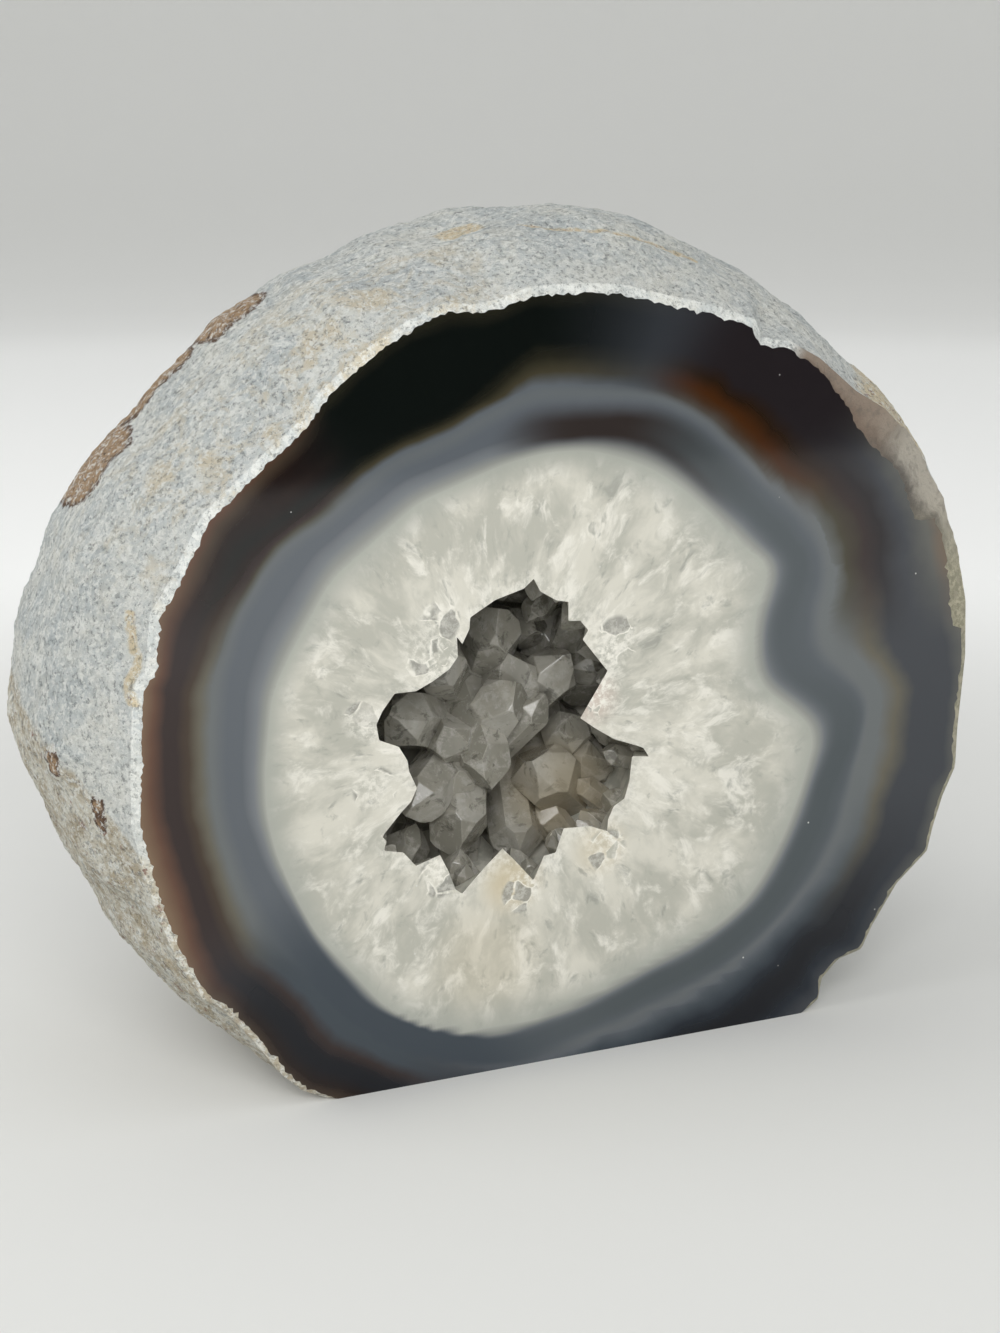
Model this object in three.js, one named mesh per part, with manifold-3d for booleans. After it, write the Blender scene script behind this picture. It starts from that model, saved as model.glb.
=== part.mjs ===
// Half of an agate geode: a rounded nodule sawn flat in front and below, with a crystal-lined hollow.
// Millimetres, +Z up. The polished face looks towards -Y. The origin is the middle of the sawn base.
// Outlines are drawn as [x, z] in the plane of the polished face, seen from the front.
import * as THREE from 'three';
import { mergeVertices } from 'three/addons/utils/BufferGeometryUtils.js';
import Module from 'manifold-3d';

const wasm = await Module();
wasm.setup();

// Nodule
const FACE_Y = -21;
const DEPTH = 56;
const CENTRE = { x: -9, z: 41 };
const FULLNESS = 2.4;
const BASE_CUT_SIZE = 200;

// Depth behind the polished face of the nodule's widest place, every 20 degrees from the right, over the top
const WIDEST = [12.5, 17, 19.5, 21.3, 21.5, 20.5, 20.8, 20.7, 21.5, 21.5, 19, 17, 12.5, 10.5, 9.5, 9.5, 9.5, 10];

// Depths of the rings of corners that the rind is drawn with
const RIND_RINGS = [3.4, 6.5, 10.5, 15, 20, 25, 30, 35, 40, 45, 49.5, 52.8, 54.8];
const RIM_WEAR = { depth: 0.6, width: 0.3 };
const LUMP_HEIGHT = 0.55;
const DENT_HEIGHT = 0.3;
const RELIEF_START = 1.5;
const RELIEF_FULL = 7;

// The rim's small bays and corners fade out behind the face into an outline that is evened over this span
const EVEN_DEPTH = 8;
const EVEN_SPAN = 26;

// Raised scabs, pits and knobs of the rind: middle and half sizes as degrees around and depth, then height
const RIND_MARKS = [
  { angle: 134, depth: 27, halfAngle: 17, halfDepth: 8, height: 0.7 },
  { angle: 31, depth: 8, halfAngle: 7, halfDepth: 6, height: 0.8 },
  { angle: 90, depth: 17, halfAngle: 7, halfDepth: 5, height: -0.9 },
  { angle: 181, depth: 10, halfAngle: 5, halfDepth: 4, height: 0.9 },
  { angle: 203, depth: 12, halfAngle: 4, halfDepth: 11, height: -1 },
  { angle: 60, depth: 40, halfAngle: 16, halfDepth: 7, height: 1 },
  { angle: 165, depth: 44, halfAngle: 18, halfDepth: 6, height: -1.2 },
  { angle: 340, depth: 30, halfAngle: 12, halfDepth: 9, height: 1 },
];

// Edge of the sawn face, from the bottom left up and over to the bottom right, then the part under the base
const OUTLINE = [
  [-31.2, 0], [-34.4, 1.6], [-36.7, 3.9], [-38.1, 6], [-40.8, 10], [-43.7, 13.5], [-45.4, 14.5],
  [-48.3, 19.9], [-50.2, 25.7], [-51.1, 29.3], [-52.3, 35], [-52.1, 39.9], [-51.7, 46], [-51.4, 50.2],
  [-50, 51.8], [-49.4, 57.6], [-47.2, 60.8], [-43.6, 67.5], [-40, 70.6], [-36.8, 73.4], [-32.9, 76.5],
  [-30.7, 79.4], [-25.7, 83.5], [-21, 86.3], [-16.7, 88.2], [-13, 87.9], [-10.4, 88.3], [-6.6, 89.5],
  [-0.9, 89.7], [4.1, 89.4], [9.7, 88.1], [16.5, 86.6], [21.2, 85], [22.1, 83], [25.7, 82.5],
  [29.9, 80.4], [34.9, 76.5], [39.1, 74.2], [42.4, 71.1], [45.5, 67.6], [48.6, 63.3], [50.9, 57],
  [52.1, 49.9], [52.5, 43.4], [51.9, 34], [51.9, 29.1], [50.2, 25.5], [49, 21.6], [48.3, 18.5],
  [44, 14.9], [40.6, 9.8], [39.2, 6.9], [35.8, 6.1], [33.5, 3.9], [33.1, 1.2], [30, -0.8],
  [24, -4.5], [14, -8], [2, -9.5], [-10, -9], [-20, -6.5], [-27, -3],
];

// Edge of the polish where the rim is chipped away at the upper right, from the bottom up
const CHIP_DEPTH = 3.2;
const CHIPPED_EDGE = [
  [50.5, 47], [49.7, 50], [49, 55], [48, 59], [46.8, 61], [44.2, 60.8], [43, 63.5], [42, 66],
  [41, 67.5], [38, 70], [35.5, 72.5], [34, 75], [32, 77.5], [30, 79.5], [27, 81.5],
];

// Jagged mouth of the hollow, from the right, over the top
const MOUTH = [
  [-0.4, 41.3], [3, 46.5], [-0.2, 50.5], [0.5, 51.5], [-0.5, 52.7], [-2, 52.8], [-2, 55], [-3.5, 55.3],
  [-5.5, 56.5], [-6.3, 58], [-7.5, 57], [-11, 56], [-14, 54.3], [-14.1, 53], [-15.6, 52.3], [-15, 51.3],
  [-15.5, 50], [-16.5, 48.7], [-18.5, 47.5], [-20.5, 46.6], [-23, 46.6], [-24.5, 44.7], [-25.2, 43.3],
  [-24.9, 41.5], [-22.6, 40.5], [-21.6, 38.8], [-21.4, 37.5], [-20.5, 35.5], [-21.2, 34], [-22.3, 33],
  [-24.7, 30.4], [-24.2, 29.8], [-24.5, 28.7], [-22.2, 28.2], [-20.7, 26.4], [-17.8, 27.3],
  [-16.8, 25.3], [-15.9, 22.9], [-15.1, 22.3], [-12.5, 24.9], [-10.1, 27], [-8.5, 25.3], [-6.2, 22.6],
  [-4.9, 25.4], [-3.4, 25.6], [-2.4, 28.4], [1, 28.2], [3.2, 27.3], [3.3, 28.7], [4, 30.2], [5.4, 31],
  [6, 33], [6.3, 36], [8.5, 35.7], [7.7, 36.9], [4, 38.3], [1.5, 39.9],
];

// Bowl of the hollow behind the mouth: its radius every 45 degrees, and its section by depth
const BOWL_RADIUS = [20, 19, 19, 18.5, 19, 21, 21.5, 21];
const BOWL_DEPTH = 28;
const BOWL_WIDEST = 8;
const MOUTH_OVERSHOOT = 1;
const MOUTH_RINGS = [
  { depth: -MOUTH_OVERSHOOT, flare: 0 },
  { depth: 0, flare: 0 },
  { depth: 1.8, flare: 0.22 },
  { depth: 4.5, flare: 0.6 },
  { depth: BOWL_WIDEST, flare: 1 },
];
const BOWL_RINGS = [12.5, 17.5, 22, 25.5, 27.5];

// Crust of crystals
const CRUST_GAP = 0.4;
const CRUST_START = 2.8;
const CRUST_COLUMNS = 40;
const LINING = { thinnest: 0.5, thickest: 2.6, roughness: 0.9 };
const QUARTZ_TIP_SLOPE = 1.1;
const TIP_SHIFT = 0.35;
const WALL_RINGS = [
  { depth: 6, count: 12, radius: 2.6, reach: 5.2 },
  { depth: 11.5, count: 9, radius: 3.2, reach: 6.5 },
];
const FLOOR_CRYSTALS = { count: 8, spread: 12, radius: 3.4, reach: 9 };

// Large crystals of the hollow: tip as [x, depth, z], the way from the tip down to the root, and radius
const ROOT_STEP = 0.5;
const ROOT_BURIED = 0.8;
const DEEPEST_ROOT = 24;
const LARGE_CRYSTALS = [
  { tip: [-4.9, 10, 47.2], down: [3, 7, -9], radius: 4.2 },
  { tip: [-5.2, 8.4, 44.8], down: [-2, 8, -9], radius: 3.6 },
  { tip: [-0.9, 8.8, 42.4], down: [-5, 7, -8], radius: 2.8 },
  { tip: [-7.9, 8.6, 31.6], down: [-1, 8, 9], radius: 3.6 },
  { tip: [-14.1, 9.4, 40], down: [6, 8, -8], radius: 3 },
  { tip: [-20.6, 9.4, 41.9], down: [9, 8, -4], radius: 3.4 },
  { tip: [-19.2, 8.8, 29.6], down: [9, 8, 5], radius: 3.2 },
  { tip: [-12.8, 8.8, 23.4], down: [3, 8, 9], radius: 3.6 },
  { tip: [-2.8, 8.8, 34.6], down: [9, 8, -8], radius: 4.2 },
  { tip: [2.9, 9, 46.6], down: [-4, 9, -8], radius: 3.6 },
  { tip: [-6.4, 9, 53.1], down: [1, 9, -9], radius: 3.6 },
  { tip: [8.8, 9, 31.8], down: [-8, 8, 1], radius: 3.2 },
];

// Finishes
const GEODE_FINISH = { color: 0x8d9298, roughness: 0.45, metalness: 0 };
const CRYSTAL_FINISH = { color: 0x6f6d68, roughness: 0.12, metalness: 0 };

const FULL_TURN = 2 * Math.PI;
const degrees = THREE.MathUtils.degToRad;

// Angle around the nodule's axis, from 0 at the right, over the top, to a full turn
function angleOf([x, z]) {
  const angle = Math.atan2(z - CENTRE.z, x - CENTRE.x);
  return (angle + FULL_TURN) % FULL_TURN;
}

// Outline as angles and radii around the axis, in order of angle
function polarOutline(points) {
  const corners = points.map(([x, z]) => ({
    angle: angleOf([x, z]),
    radius: Math.hypot(x - CENTRE.x, z - CENTRE.z),
  }));
  return corners.sort((a, b) => a.angle - b.angle);
}

// Radius of a closed polar outline at an angle, straight between its corners
function radiusAt(outline, angle) {
  const turned = ((angle % FULL_TURN) + FULL_TURN) % FULL_TURN;
  let next = outline.findIndex((corner) => corner.angle > turned);
  if (next < 0) next = 0;
  const a = outline[(next + outline.length - 1) % outline.length];
  const b = outline[next];
  const span = (b.angle - a.angle + FULL_TURN) % FULL_TURN;
  const along = ((turned - a.angle + FULL_TURN) % FULL_TURN) / span;
  const ax = a.radius * Math.cos(a.angle);
  const az = a.radius * Math.sin(a.angle);
  const bx = b.radius * Math.cos(b.angle);
  const bz = b.radius * Math.sin(b.angle);
  const cross = ax * bz - az * bx;
  const towards = Math.cos(turned) * (bz - az) - Math.sin(turned) * (bx - ax);
  return span > 0 && along > 0 ? cross / towards : a.radius;
}

// Smooth closed curve through values that are evenly spaced around the axis
function smoothAround(values, angle) {
  const place = ((angle / FULL_TURN) * values.length + values.length) % values.length;
  const index = Math.floor(place);
  const t = place - index;
  const value = (k) => values[(index + k + values.length) % values.length];
  const [p0, p1, p2, p3] = [value(-1), value(0), value(1), value(2)];
  const linear = p2 - p0;
  const square = 2 * p0 - 5 * p1 + 4 * p2 - p3;
  const cube = 3 * p1 - p0 - 3 * p2 + p3;
  return 0.5 * (2 * p1 + linear * t + square * t * t + cube * t * t * t);
}

// Repeatable random numbers from 0 to 1
function randomNumbers(seed) {
  let state = seed;
  return () => {
    state = (state * 1664525 + 1013904223) % 4294967296;
    return state / 4294967296;
  };
}

const faceOutline = polarOutline(OUTLINE);
const mouthOutline = polarOutline(MOUTH);
const chippedEdge = polarOutline(CHIPPED_EDGE);
const chipStart = chippedEdge[0].angle;
const chipEnd = chippedEdge[chippedEdge.length - 1].angle;

function pointAt(angle, radius, depth) {
  const x = CENTRE.x + radius * Math.cos(angle);
  const z = CENTRE.z + radius * Math.sin(angle);
  return new THREE.Vector3(x, FACE_Y + depth, z);
}

// Share of the nodule's greatest radius that it has at a depth
function noduleSection(angle, depth) {
  const widest = smoothAround(WIDEST, angle);
  const away = Math.abs(depth - widest) / (DEPTH - widest);
  return Math.pow(Math.max(0, 1 - Math.pow(away, FULLNESS)), 1 / FULLNESS);
}

// Height of the rind's lumps, dents, scabs and pits above the smooth nodule
function rindRelief(angle, depth, smooth) {
  const { x, y, z } = smooth;
  const lumps = Math.sin(0.19 * x + 1.3) * Math.sin(0.16 * z + 0.4) + Math.sin(0.14 * y + 0.11 * x + 2);
  const dents = Math.sin(0.47 * x + 0.2 * y + 0.5) * Math.sin(0.43 * z - 0.25 * y + 1.1);
  let height = 0.5 * LUMP_HEIGHT * lumps + DENT_HEIGHT * dents;
  for (const mark of RIND_MARKS) {
    const around = THREE.MathUtils.radToDeg(angle) - mark.angle;
    const acrossAngle = (((around + 540) % 360) - 180) / mark.halfAngle;
    const acrossDepth = (depth - mark.depth) / mark.halfDepth;
    const away = Math.pow(acrossAngle, 4) + Math.pow(acrossDepth, 4);
    height += mark.height * Math.exp(-away);
  }
  return height * THREE.MathUtils.smoothstep(depth, RELIEF_START, RELIEF_FULL);
}

// Radius of the face's outline, evened out around it
function evenRadius(angle) {
  const samples = 9;
  let sum = 0;
  for (let i = 0; i < samples; i += 1) {
    const aside = degrees(EVEN_SPAN) * ((i + 0.5) / samples - 0.5);
    sum += radiusAt(faceOutline, angle + aside);
  }
  return sum / samples;
}

function rindPoint(angle, depth) {
  const evened = THREE.MathUtils.smoothstep(depth, 0, EVEN_DEPTH);
  const edge = THREE.MathUtils.lerp(radiusAt(faceOutline, angle), evenRadius(angle), evened);
  const radius = (edge * noduleSection(angle, depth)) / noduleSection(angle, 0);
  const smooth = pointAt(angle, radius, depth);
  const shrink = Math.min(1, (DEPTH - depth) / RELIEF_FULL);
  return pointAt(angle, radius + shrink * rindRelief(angle, depth, smooth), depth);
}

// Point on the edge of the polish, inside the rim by its wear or by the chips
function polishedEdgePoint(angle) {
  const chipped = angle > chipStart && angle < chipEnd;
  const rim = radiusAt(faceOutline, angle) - RIM_WEAR.width;
  return pointAt(angle, chipped ? Math.min(rim, radiusAt(chippedEdge, angle)) : rim, 0);
}

// First ring of the rind, at the outer edge of the rim's wear and chips
function rimPoint(angle) {
  const middle = (chipStart + chipEnd) / 2;
  const halfSpan = (chipEnd - chipStart) / 2;
  const inside = 1 - Math.abs(angle - middle) / halfSpan;
  const chip = THREE.MathUtils.smoothstep(inside, 0, 0.35);
  return rindPoint(angle, THREE.MathUtils.lerp(RIM_WEAR.depth, CHIP_DEPTH - 0.6, chip));
}

// Closed body through rings of points around an axis, with a fan at each end
function loftRings(rings, frontTip, backTip) {
  const count = rings[0].length;
  const positions = [];
  for (const ring of rings) {
    for (const point of ring) positions.push(point.x, point.y, point.z);
  }
  positions.push(frontTip.x, frontTip.y, frontTip.z, backTip.x, backTip.y, backTip.z);
  const front = rings.length * count;
  const back = front + 1;
  const index = [];
  for (let i = 0; i < count; i += 1) {
    const j = (i + 1) % count;
    index.push(front, i, j);
    for (let k = 0; k + 1 < rings.length; k += 1) {
      const near = k * count;
      const far = near + count;
      index.push(near + i, far + i, near + j, near + j, far + i, far + j);
    }
    const last = (rings.length - 1) * count;
    index.push(back, last + j, last + i);
  }
  const geometry = new THREE.BufferGeometry();
  geometry.setAttribute('position', new THREE.Float32BufferAttribute(positions, 3));
  geometry.setIndex(index);
  return geometry;
}

// Conversions between a closed three.js geometry and a solid that can be joined and cut
function toSolid(geometry) {
  const bare = geometry.clone();
  bare.deleteAttribute('normal');
  bare.deleteAttribute('uv');
  const merged = mergeVertices(bare, 1e-5);
  const vertProperties = Float32Array.from(merged.attributes.position.array);
  const triVerts = Uint32Array.from(merged.index.array);
  return new wasm.Manifold(new wasm.Mesh({ numProp: 3, vertProperties, triVerts }));
}

function toGeometry(solid) {
  const mesh = solid.getMesh();
  const geometry = new THREE.BufferGeometry();
  geometry.setAttribute('position', new THREE.BufferAttribute(mesh.vertProperties, 3));
  geometry.setIndex(new THREE.BufferAttribute(mesh.triVerts, 1));
  return geometry;
}

// Angles of the outline's corners with one more between each pair
function outlineAngles(outline) {
  const angles = [];
  outline.forEach((corner, i) => {
    const next = outline[(i + 1) % outline.length];
    const span = (next.angle - corner.angle + FULL_TURN) % FULL_TURN;
    angles.push(corner.angle, (corner.angle + span / 2) % FULL_TURN);
  });
  return angles.sort((a, b) => a - b);
}

function makeNodule() {
  const angles = outlineAngles(faceOutline);
  const rings = [angles.map(polishedEdgePoint), angles.map(rimPoint)];
  for (const depth of RIND_RINGS) rings.push(angles.map((angle) => rindPoint(angle, depth)));
  return loftRings(rings, pointAt(0, 0, 0), pointAt(0, 0, DEPTH));
}

function makeBaseCut() {
  const cut = new THREE.BoxGeometry(BASE_CUT_SIZE, BASE_CUT_SIZE, BASE_CUT_SIZE);
  return cut.translate(0, 0, -BASE_CUT_SIZE / 2);
}

// Radius of the hollow's bowl at an angle and depth
function bowlRadius(angle, depth) {
  const away = Math.max(0, depth - BOWL_WIDEST) / (BOWL_DEPTH - BOWL_WIDEST);
  return smoothAround(BOWL_RADIUS, angle) * Math.sqrt(1 - away * away);
}

// Radius of the hollow behind the mouth, which flares from the jagged mouth to the bowl
function hollowRadius(angle, depth) {
  const next = MOUTH_RINGS.findIndex((ring) => ring.depth >= depth);
  if (next < 0) return bowlRadius(angle, depth);
  const b = MOUTH_RINGS[next];
  const a = MOUTH_RINGS[Math.max(0, next - 1)];
  const along = b.depth > a.depth ? (depth - a.depth) / (b.depth - a.depth) : 1;
  const flare = THREE.MathUtils.lerp(a.flare, b.flare, along);
  return THREE.MathUtils.lerp(radiusAt(mouthOutline, angle), bowlRadius(angle, depth), flare);
}

function makeHollow() {
  const angles = mouthOutline.map((corner) => corner.angle);
  const depths = MOUTH_RINGS.map((ring) => ring.depth).concat(BOWL_RINGS);
  const rings = depths.map((depth) => angles.map((a) => pointAt(a, hollowRadius(a, depth), depth)));
  return loftRings(rings, pointAt(0, 0, -MOUTH_OVERSHOOT), pointAt(0, 0, BOWL_DEPTH));
}

// Space that the crust may fill: the hollow behind the mouth, clear of its wall by the gap
function makeCrustSpace() {
  const angles = mouthOutline.map((corner) => corner.angle);
  const depths = [CRUST_START, ...MOUTH_RINGS.slice(3).map((ring) => ring.depth), ...BOWL_RINGS];
  const shift = (depth) => (depth > BOWL_WIDEST ? CRUST_GAP : 0);
  const inset = (a, depth) => hollowRadius(a, depth) - CRUST_GAP;
  const rings = depths.map((depth) => angles.map((a) => pointAt(a, inset(a, depth), depth - shift(depth))));
  return loftRings(rings, pointAt(0, 0, CRUST_START), pointAt(0, 0, BOWL_DEPTH - CRUST_GAP));
}

// Open space inside the crust's lining, with an uneven wall that is thin at the mouth
function makeLiningSpace(random) {
  const angles = Array.from({ length: CRUST_COLUMNS }, (_, i) => (i * FULL_TURN) / CRUST_COLUMNS);
  const depths = [CRUST_START - 1, 4.5, 8, 12, 16, 20, 23];
  const rings = depths.map((depth, k) => angles.map((angle) => {
    const share = Math.min(1, k / 2);
    const thickness = THREE.MathUtils.lerp(LINING.thinnest, LINING.thickest, share);
    const uneven = share * LINING.roughness * (random() - 0.5);
    const radius = hollowRadius(angle, Math.max(depth, CRUST_START)) - CRUST_GAP;
    return pointAt(angle, radius - thickness + uneven, depth);
  }));
  return loftRings(rings, pointAt(0, 0, depths[0]), pointAt(0, 0, BOWL_DEPTH - 2.5));
}

// Six-sided quartz point along +Y, its root at the origin, with its tip a little off the middle
function makeCrystal(radius, length, random) {
  const tipHeight = radius * QUARTZ_TIP_SLOPE;
  const profile = [
    new THREE.Vector2(0, 0),
    new THREE.Vector2(radius, 0),
    new THREE.Vector2(radius, length - tipHeight),
    new THREE.Vector2(0, length),
  ];
  const crystal = new THREE.LatheGeometry(profile, 6);
  const shiftX = TIP_SHIFT * radius * (random() - 0.5);
  const shiftZ = TIP_SHIFT * radius * (random() - 0.5);
  const stretch = 0.85 + 0.3 * random();
  const position = crystal.attributes.position;
  for (let i = 0; i < position.count; i += 1) {
    if (position.getY(i) > length - 0.01) position.setX(i, shiftX);
    if (position.getY(i) > length - 0.01) position.setZ(i, shiftZ);
  }
  crystal.rotateY(random() * FULL_TURN);
  return crystal.scale(stretch, 1, 1 / stretch);
}

function placeCrystal(root, tip, radius, random) {
  const along = tip.clone().sub(root);
  const crystal = makeCrystal(radius, along.length(), random);
  const turn = new THREE.Quaternion().setFromUnitVectors(new THREE.Vector3(0, 1, 0), along.normalize());
  return crystal.applyQuaternion(turn).translate(root.x, root.y, root.z);
}

// Crystals on the hollow's wall, in rings, each leaning towards the middle
function wallCrystals(random) {
  const crystals = [];
  WALL_RINGS.forEach((ring, k) => {
    for (let i = 0; i < ring.count; i += 1) {
      const angle = ((i + 0.5 * (k % 2) + 0.5 * (random() - 0.5)) * FULL_TURN) / ring.count;
      const depth = ring.depth + 2 * (random() - 0.5);
      const reach = ring.reach * (0.75 + 0.55 * random());
      const root = pointAt(angle, hollowRadius(angle, depth) + 0.5, depth + 1);
      const lean = pointAt(angle + 0.5 * (random() - 0.5), 2, depth - 2 + 4 * random());
      const tip = root.clone().add(lean.sub(root).setLength(reach));
      crystals.push(placeCrystal(root, tip, ring.radius * (0.75 + 0.5 * random()), random));
    }
  });
  return crystals;
}

// Crystals on the hollow's floor, spread in a spiral, each standing up towards the mouth
function floorCrystals(random) {
  const crystals = [];
  const goldenAngle = degrees(137.5);
  for (let i = 0; i < FLOOR_CRYSTALS.count; i += 1) {
    const out = FLOOR_CRYSTALS.spread * Math.sqrt((i + 0.5) / FLOOR_CRYSTALS.count);
    const root = pointAt(i * goldenAngle, out, BOWL_DEPTH - 1);
    const reach = FLOOR_CRYSTALS.reach * (0.8 + 0.6 * random());
    const sideways = new THREE.Vector3(random() - 0.5, -1.6, random() - 0.5);
    const tip = root.clone().add(sideways.setLength(reach));
    crystals.push(placeCrystal(root, tip, FLOOR_CRYSTALS.radius * (0.8 + 0.4 * random()), random));
  }
  return crystals;
}

// Where a crystal's axis, followed down from its tip, goes into the wall or floor of the hollow
function rootOnWall(tip, down) {
  const root = tip.clone();
  let inside = true;
  while (inside) {
    root.addScaledVector(down, ROOT_STEP);
    const depth = root.y - FACE_Y;
    const out = Math.hypot(root.x - CENTRE.x, root.z - CENTRE.z);
    inside = depth < DEEPEST_ROOT && out < hollowRadius(angleOf([root.x, root.z]), depth);
  }
  return root.addScaledVector(down, ROOT_BURIED);
}

function largeCrystals(random) {
  return LARGE_CRYSTALS.map(({ tip, down, radius }) => {
    const point = new THREE.Vector3(tip[0], FACE_Y + tip[1], tip[2]);
    const root = rootOnWall(point, new THREE.Vector3(...down).normalize());
    return placeCrystal(root, point, radius, random);
  });
}

// The outer shell alone, without the surfaces of air pockets shut in between crystals
function withoutPockets(geometry) {
  const source = geometry.index.array;
  const parent = Array.from({ length: geometry.attributes.position.count }, (_, i) => i);
  const find = (i) => {
    while (parent[i] !== i) {
      parent[i] = parent[parent[i]];
      i = parent[i];
    }
    return i;
  };
  for (let t = 0; t < source.length; t += 3) {
    parent[find(source[t])] = find(source[t + 1]);
    parent[find(source[t + 1])] = find(source[t + 2]);
  }
  const sizes = new Map();
  for (let t = 0; t < source.length; t += 3) {
    const shell = find(source[t]);
    sizes.set(shell, (sizes.get(shell) ?? 0) + 1);
  }
  const outer = [...sizes].sort((a, b) => b[1] - a[1])[0][0];
  const kept = Array.from(source).filter((_, i) => find(source[i - (i % 3)]) === outer);
  const shell = geometry.clone();
  shell.setIndex(kept);
  return shell;
}

function makeGeode() {
  const sawn = toSolid(makeNodule()).subtract(toSolid(makeBaseCut()));
  return toGeometry(sawn.subtract(toSolid(makeHollow())));
}

function makeCrust() {
  const random = randomNumbers(11);
  const space = toSolid(makeCrustSpace());
  let crystals = toSolid(makeLiningSpace(random));
  crystals = space.subtract(crystals);
  for (const crystal of [...wallCrystals(random), ...floorCrystals(random), ...largeCrystals(random)]) {
    crystals = crystals.add(toSolid(crystal));
  }
  return withoutPockets(toGeometry(crystals.intersect(space)));
}

function makeNode(name, geometry, finish) {
  const flat = geometry.toNonIndexed();
  flat.computeVertexNormals();
  const mesh = new THREE.Mesh(flat, new THREE.MeshStandardMaterial({ ...finish, flatShading: true }));
  mesh.name = name;
  return mesh;
}

const geodeHalf = new THREE.Group();
geodeHalf.add(makeNode('geode', makeGeode(), GEODE_FINISH));
geodeHalf.add(makeNode('crystal_crust', makeCrust(), CRYSTAL_FINISH));

export default geodeHalf;
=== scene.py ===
import bmesh
import bpy
import math
import numpy as np
import random
from mathutils import Matrix, Vector, noise


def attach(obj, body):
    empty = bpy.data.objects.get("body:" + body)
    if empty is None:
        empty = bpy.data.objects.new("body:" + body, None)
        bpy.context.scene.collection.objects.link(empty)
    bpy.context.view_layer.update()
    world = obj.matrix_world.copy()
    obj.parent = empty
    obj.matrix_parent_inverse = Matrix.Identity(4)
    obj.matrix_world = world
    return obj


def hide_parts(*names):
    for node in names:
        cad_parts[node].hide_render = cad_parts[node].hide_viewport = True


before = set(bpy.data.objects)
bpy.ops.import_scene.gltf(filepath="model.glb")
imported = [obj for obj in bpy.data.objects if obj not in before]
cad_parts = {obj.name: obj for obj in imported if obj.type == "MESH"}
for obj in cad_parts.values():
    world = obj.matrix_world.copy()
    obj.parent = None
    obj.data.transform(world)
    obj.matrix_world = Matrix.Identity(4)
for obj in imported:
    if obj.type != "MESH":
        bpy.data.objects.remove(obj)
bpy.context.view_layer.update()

# Sizes are in millimetres and become metres where a mesh, light or camera is made.
MM = 0.001

# Nodule: the polished face's plane, its depth and its axis, which runs through the hollow
FACE_Y = -21.0
DEPTH = 56.0
AXIS_X = -9.0
AXIS_Z = 41.0
FULLNESS = 2.4
WIDEST = [12.5, 17, 19.5, 21.3, 21.5, 20.5, 20.8, 20.7, 21.5, 21.5, 19, 17, 12.5, 10.5, 9.5, 9.5, 9.5, 10]
RIM_WEAR_DEPTH = 0.6
# How wide the worn rim is and how deep it is chipped, at some angles, with even changes between them
RIM_WIDTH = [(0, 0.75), (12, 0.85), (20, 0.3), (300, 0.3), (325, 0.6), (360, 0.75)]
CHIP_DEPTH = [(9, 0.6), (13, 1.4), (18, 2.2), (24, 3.6), (29, 4.4), (32, 0.6)]
# From which to which angle the rim is bare agate, without the weathered skin
BARE_RIM = {"start": -48, "end": 50, "soft": 3}
# By this depth the bays of the face's outline are evened out, over a span in degrees
EVEN_DEPTH = 8.0
EVEN_SPAN = 26.0

# Edge of the sawn face as (x, z), from the bottom left over the top to the bottom right, then under the base
OUTLINE = [
    (-31.2, 0), (-34.4, 1.6), (-36.7, 3.9), (-38.1, 6), (-40.8, 10), (-43.7, 13.5), (-45.4, 14.5),
    (-48.3, 19.9), (-50.2, 25.7), (-51.1, 29.3), (-52.3, 35), (-52.1, 39.9), (-51.7, 46), (-51.4, 50.2),
    (-50, 51.8), (-49.4, 57.6), (-47.2, 60.8), (-43.6, 67.5), (-40, 70.6), (-36.8, 73.4), (-32.9, 76.5),
    (-30.7, 79.4), (-25.7, 83.5), (-21, 86.3), (-16.7, 88.2), (-13, 87.9), (-10.4, 88.3), (-6.6, 89.5),
    (-0.9, 89.7), (4.1, 89.4), (9.7, 88.1), (16.5, 86.6), (21.2, 85), (22.1, 83), (25.7, 82.5),
    (29.9, 80.4), (34.9, 76.5), (39.1, 74.2), (42.4, 71.1), (45.5, 67.6), (48.6, 63.3), (50.9, 57),
    (52.1, 49.9), (52.5, 43.4), (51.9, 34), (51.9, 29.1), (50.2, 25.5), (49, 21.6), (48.3, 18.5),
    (44, 14.9), (40.6, 9.8), (39.2, 6.9), (35.8, 6.1), (33.5, 3.9), (33.1, 1.2), (30, -0.8),
    (24, -4.5), (14, -8), (2, -9.5), (-10, -9), (-20, -6.5), (-27, -3),
]

# Edge of the polish where the rim is chipped away at the upper right, from the bottom up
CHIPPED_EDGE = [
    (50.5, 47), (49.7, 50), (49, 55), (48, 59), (46.8, 61), (44.2, 60.8), (43, 63.5), (42, 66),
    (41, 67.5), (38, 70), (35.5, 72.5), (34, 75), (32, 77.5), (30, 79.5), (27, 81.5),
]

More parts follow.
